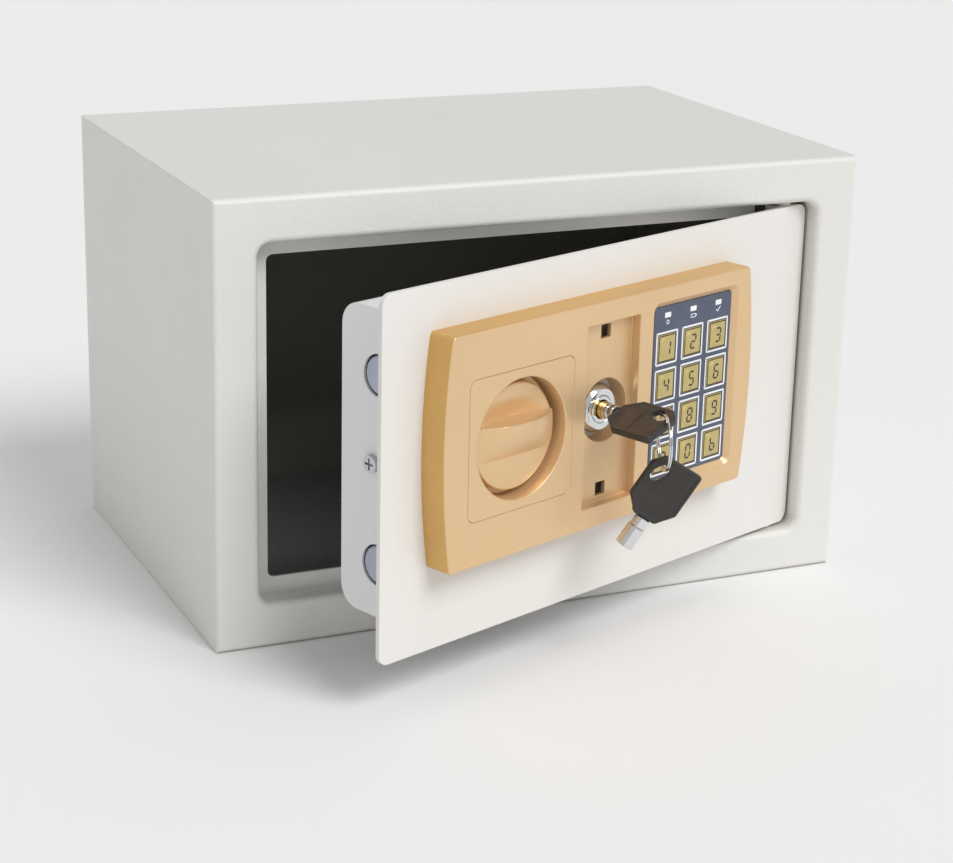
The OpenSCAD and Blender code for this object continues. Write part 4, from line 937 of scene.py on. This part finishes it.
def make_ring():
    """Split ring: flattened wire wound twice, its ends dressed flush."""
    m = Mesh()
    turns, steps = 1.93, 240
    width, depth = WIRE_D * 0.47, WIRE_D * 0.96
    at = (SWING @ shift(RING_BOX.cx, RING_BOX.cy, RING_BOX.cz) @ spin(-RING_ANGLE - RING_TURN, "Z"))
    rings = []
    for i in range(steps + 1):
        t = turns * 2 * math.pi * i / steps
        ramp = smooth(((i / steps) - 0.42) / 0.16)
        y = WIRE_D * 0.255 * (2 * ramp - 1)
        section = []
        for k in range(12):
            a = 2 * math.pi * k / 12
            ca, sa = math.cos(a), math.sin(a)
            ex = math.copysign(abs(ca) ** 0.6, ca) * depth / 2
            ey = math.copysign(abs(sa) ** 0.6, sa) * width / 2
            r = RING_R + ex
            section.append((r * math.cos(t + 1.2), y + ey, r * math.sin(t + 1.2)))
        rings.append(m.points(section))
    m.stack(rings)
    m.face(rings[0])
    m.face(rings[-1])
    m.build("split_ring", "key_ring", [CHROME], ["key_ring"], at=at, sharp=60)


make_ring()

# ------------------------------------------------------------------ locking bolts


def make_bolt(node):
    box = Box(node)
    m = Mesh()
    r = box.d / 2
    profile = [(0.02, 0.0), (r - 1.5, 0.0), (r - 1.0, 0.06), (r - 0.5, 0.3), (r - 0.12, 0.75), (r, 1.3),
               (r, box.w - 0.4),
               (r - 0.3, box.w), (3.0, box.w), (3.0, box.w - 9.8), (0.02, box.w - 9.8)]
    rings = [m.ring(ring_points(0, 0, rr, 96), y) for rr, y in profile]
    m.stack(rings)
    m.face(rings[0])
    m.face(rings[-1])
    at = SWING @ shift(box.x0, box.cy, box.cz) @ spin(-90, "Z")
    m.build(f"{node}_rod", "bolts", [BOLT], [node], at=at, sharp=30)


make_bolt("upper_bolt")
make_bolt("lower_bolt")

# ------------------------------------------------------------------ floor mat


def make_mat():
    """Felt mat with a softly uneven top and cut edges."""
    box = Box("floor_mat", False)
    m = Mesh()
    nx, ny = 120, 80
    mounts = frame["record"]["mounts"]
    anchors = next(m for m in mounts if m["name"] == "base_anchor_holes")
    reach = anchors["dims"]["spacing_x_mm"] / 2
    holes = [(-reach, 0.0), (reach, 0.0)]
    hole_r = 9.0

    def top(x, y):
        wave = 0.12 * math.sin(x * 0.11 + 1.3 * math.sin(y * 0.05)) + 0.1 * math.sin(y * 0.17 + x * 0.03)
        edge = min(x - box.x0, box.x1 - x, y - box.y0, box.y1 - y)
        return box.z1 - 0.25 + wave * smooth(edge / 12) - 0.7 * (1 - smooth(edge / 1.6))

    def hole_near(x, y):
        for hx, hy in holes:
            d = math.hypot(x - hx, y - hy)
            if d < hole_r + 1.9:
                return hx, hy, d
        return None

    ids = {}
    for j in range(ny + 1):
        for i in range(nx + 1):
            x = box.x0 + box.w * i / nx
            y = box.y0 + box.d * j / ny
            near = hole_near(x, y)
            if near and near[2] < hole_r - 1.4:
                continue
            if near and near[2] < hole_r + 1.2:
                hx, hy, d = near
                x, y = hx + (x - hx) * hole_r / max(d, 0.01), hy + (y - hy) * hole_r / max(d, 0.01)
            ids[i, j] = m.points([(x, y, top(x, y))])[0]
    for j in range(ny):
        for i in range(nx):
            corners = [(i, j), (i + 1, j), (i + 1, j + 1), (i, j + 1)]
            if all(c in ids for c in corners):
                m.face([ids[c] for c in corners])
    work = bmesh.new()
    verts = [work.verts.new(p) for p in m.v]
    for f in m.f:
        try:
            work.faces.new([verts[i] for i in f])
        except ValueError:
            continue
    work.normal_update()
    edges = [e for e in work.edges if e.is_boundary]
    result = bmesh.ops.extrude_edge_only(work, edges=edges)
    moved = [v for v in result["geom"] if isinstance(v, bmesh.types.BMVert)]
    for v in moved:
        v.co.z = box.z0 + 0.01
    rim = [e for e in work.edges if e.is_boundary]
    bmesh.ops.triangle_fill(work, use_beauty=False, use_dissolve=False, edges=rim)
    bmesh.ops.recalc_face_normals(work, faces=work.faces)
    for v in work.verts:
        v.co *= MM
    mesh = bpy.data.meshes.new("felt_mat")
    work.to_mesh(mesh)
    work.free()
    mesh.materials.append(FELT)
    mesh.polygons.foreach_set("use_smooth", [True] * len(mesh.polygons))
    mesh.set_sharp_from_angle(angle=math.radians(50))
    piece = bpy.data.objects.new("felt_mat", mesh)
    bpy.context.collection.objects.link(piece)
    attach(piece, "cabinet")
    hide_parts("floor_mat")


make_mat()

# ------------------------------------------------------------------ materials of the CAD nodes that show

NODE_MATERIALS = {
    PAINT: ["body_wrap", "back_panel", "front_frame"],
    DOOR_PAINT: ["door_plate", "hinge_lugs"],
    PAN_PAINT: ["door_pan"],
    ZINC: ["hinge_pins", "pan_brackets", "pan_screws", "bolt_guide", "guide_posts", "fascia_screws",
           "knob_shaft", "knob_cam", "bolt_carriage", "bolt_screws", "solenoid_frame", "plunger",
           "plunger_spring", "plunger_yoke", "lock_nut", "lock_cam", "battery_contacts"],
    NYLON: ["hinge_washers", "knob_bush"],
    BOARD: ["circuit_board"],
    BLACK: ["board_parts", "battery_box", "battery_cover", "reset_switch"],
    WIRE: ["wire_harness"],
    CELL: ["battery_cells"],
    COPPER: ["solenoid_coil"],
    RESET: ["reset_button"],
}
for material, names in NODE_MATERIALS.items():
    for name in names:
        node = frame["nodes"][name]
        node.data.materials.clear()
        node.data.materials.append(material)

# ------------------------------------------------------------------ studio


FLOOR_HALF = 30.0
SKY_STRENGTH = 0.55
SUN_STRENGTH = 1.73
SUN_DEGREES = 30
SUN_FROM = (0.15, -0.35, 0.40)


def make_studio():
    size = FLOOR_HALF
    mesh = bpy.data.meshes.new("studio_floor")
    corners = [(-size, -size, 0), (size, -size, 0), (size, size, 0), (-size, size, 0)]
    mesh.from_pydata(corners, [], [(0, 1, 2, 3)])
    floor = bpy.data.objects.new("studio_floor", mesh)
    floor.location.z = -0.0003
    bpy.context.collection.objects.link(floor)
    n = Nodes("studio_floor", Roughness=0.85)
    n.set("Base Color", n.mix(n.spread(n.noise(3, 2), 0, 1), (0.89, 0.89, 0.89), (0.90, 0.90, 0.90)))
    mesh.materials.append(n.material)

    world = bpy.data.worlds.new("studio")
    bpy.context.scene.world = world
    world.use_nodes = True
    world.node_tree.nodes["Background"].inputs["Color"].default_value = (1.0, 1.0, 1.0, 1)
    world.node_tree.nodes["Background"].inputs["Strength"].default_value = SKY_STRENGTH

    data = bpy.data.lights.new("sun", "SUN")
    data.energy = SUN_STRENGTH
    data.angle = math.radians(SUN_DEGREES)
    sun = bpy.data.objects.new("sun", data)
    sun.rotation_euler = (-Vector(SUN_FROM)).to_track_quat("-Z", "Y").to_euler()
    bpy.context.collection.objects.link(sun)
    bpy.context.scene.view_settings.view_transform = "Standard"
    bpy.context.scene.view_settings.look = "None"
    bpy.context.scene.view_settings.exposure = 0.0


make_studio()
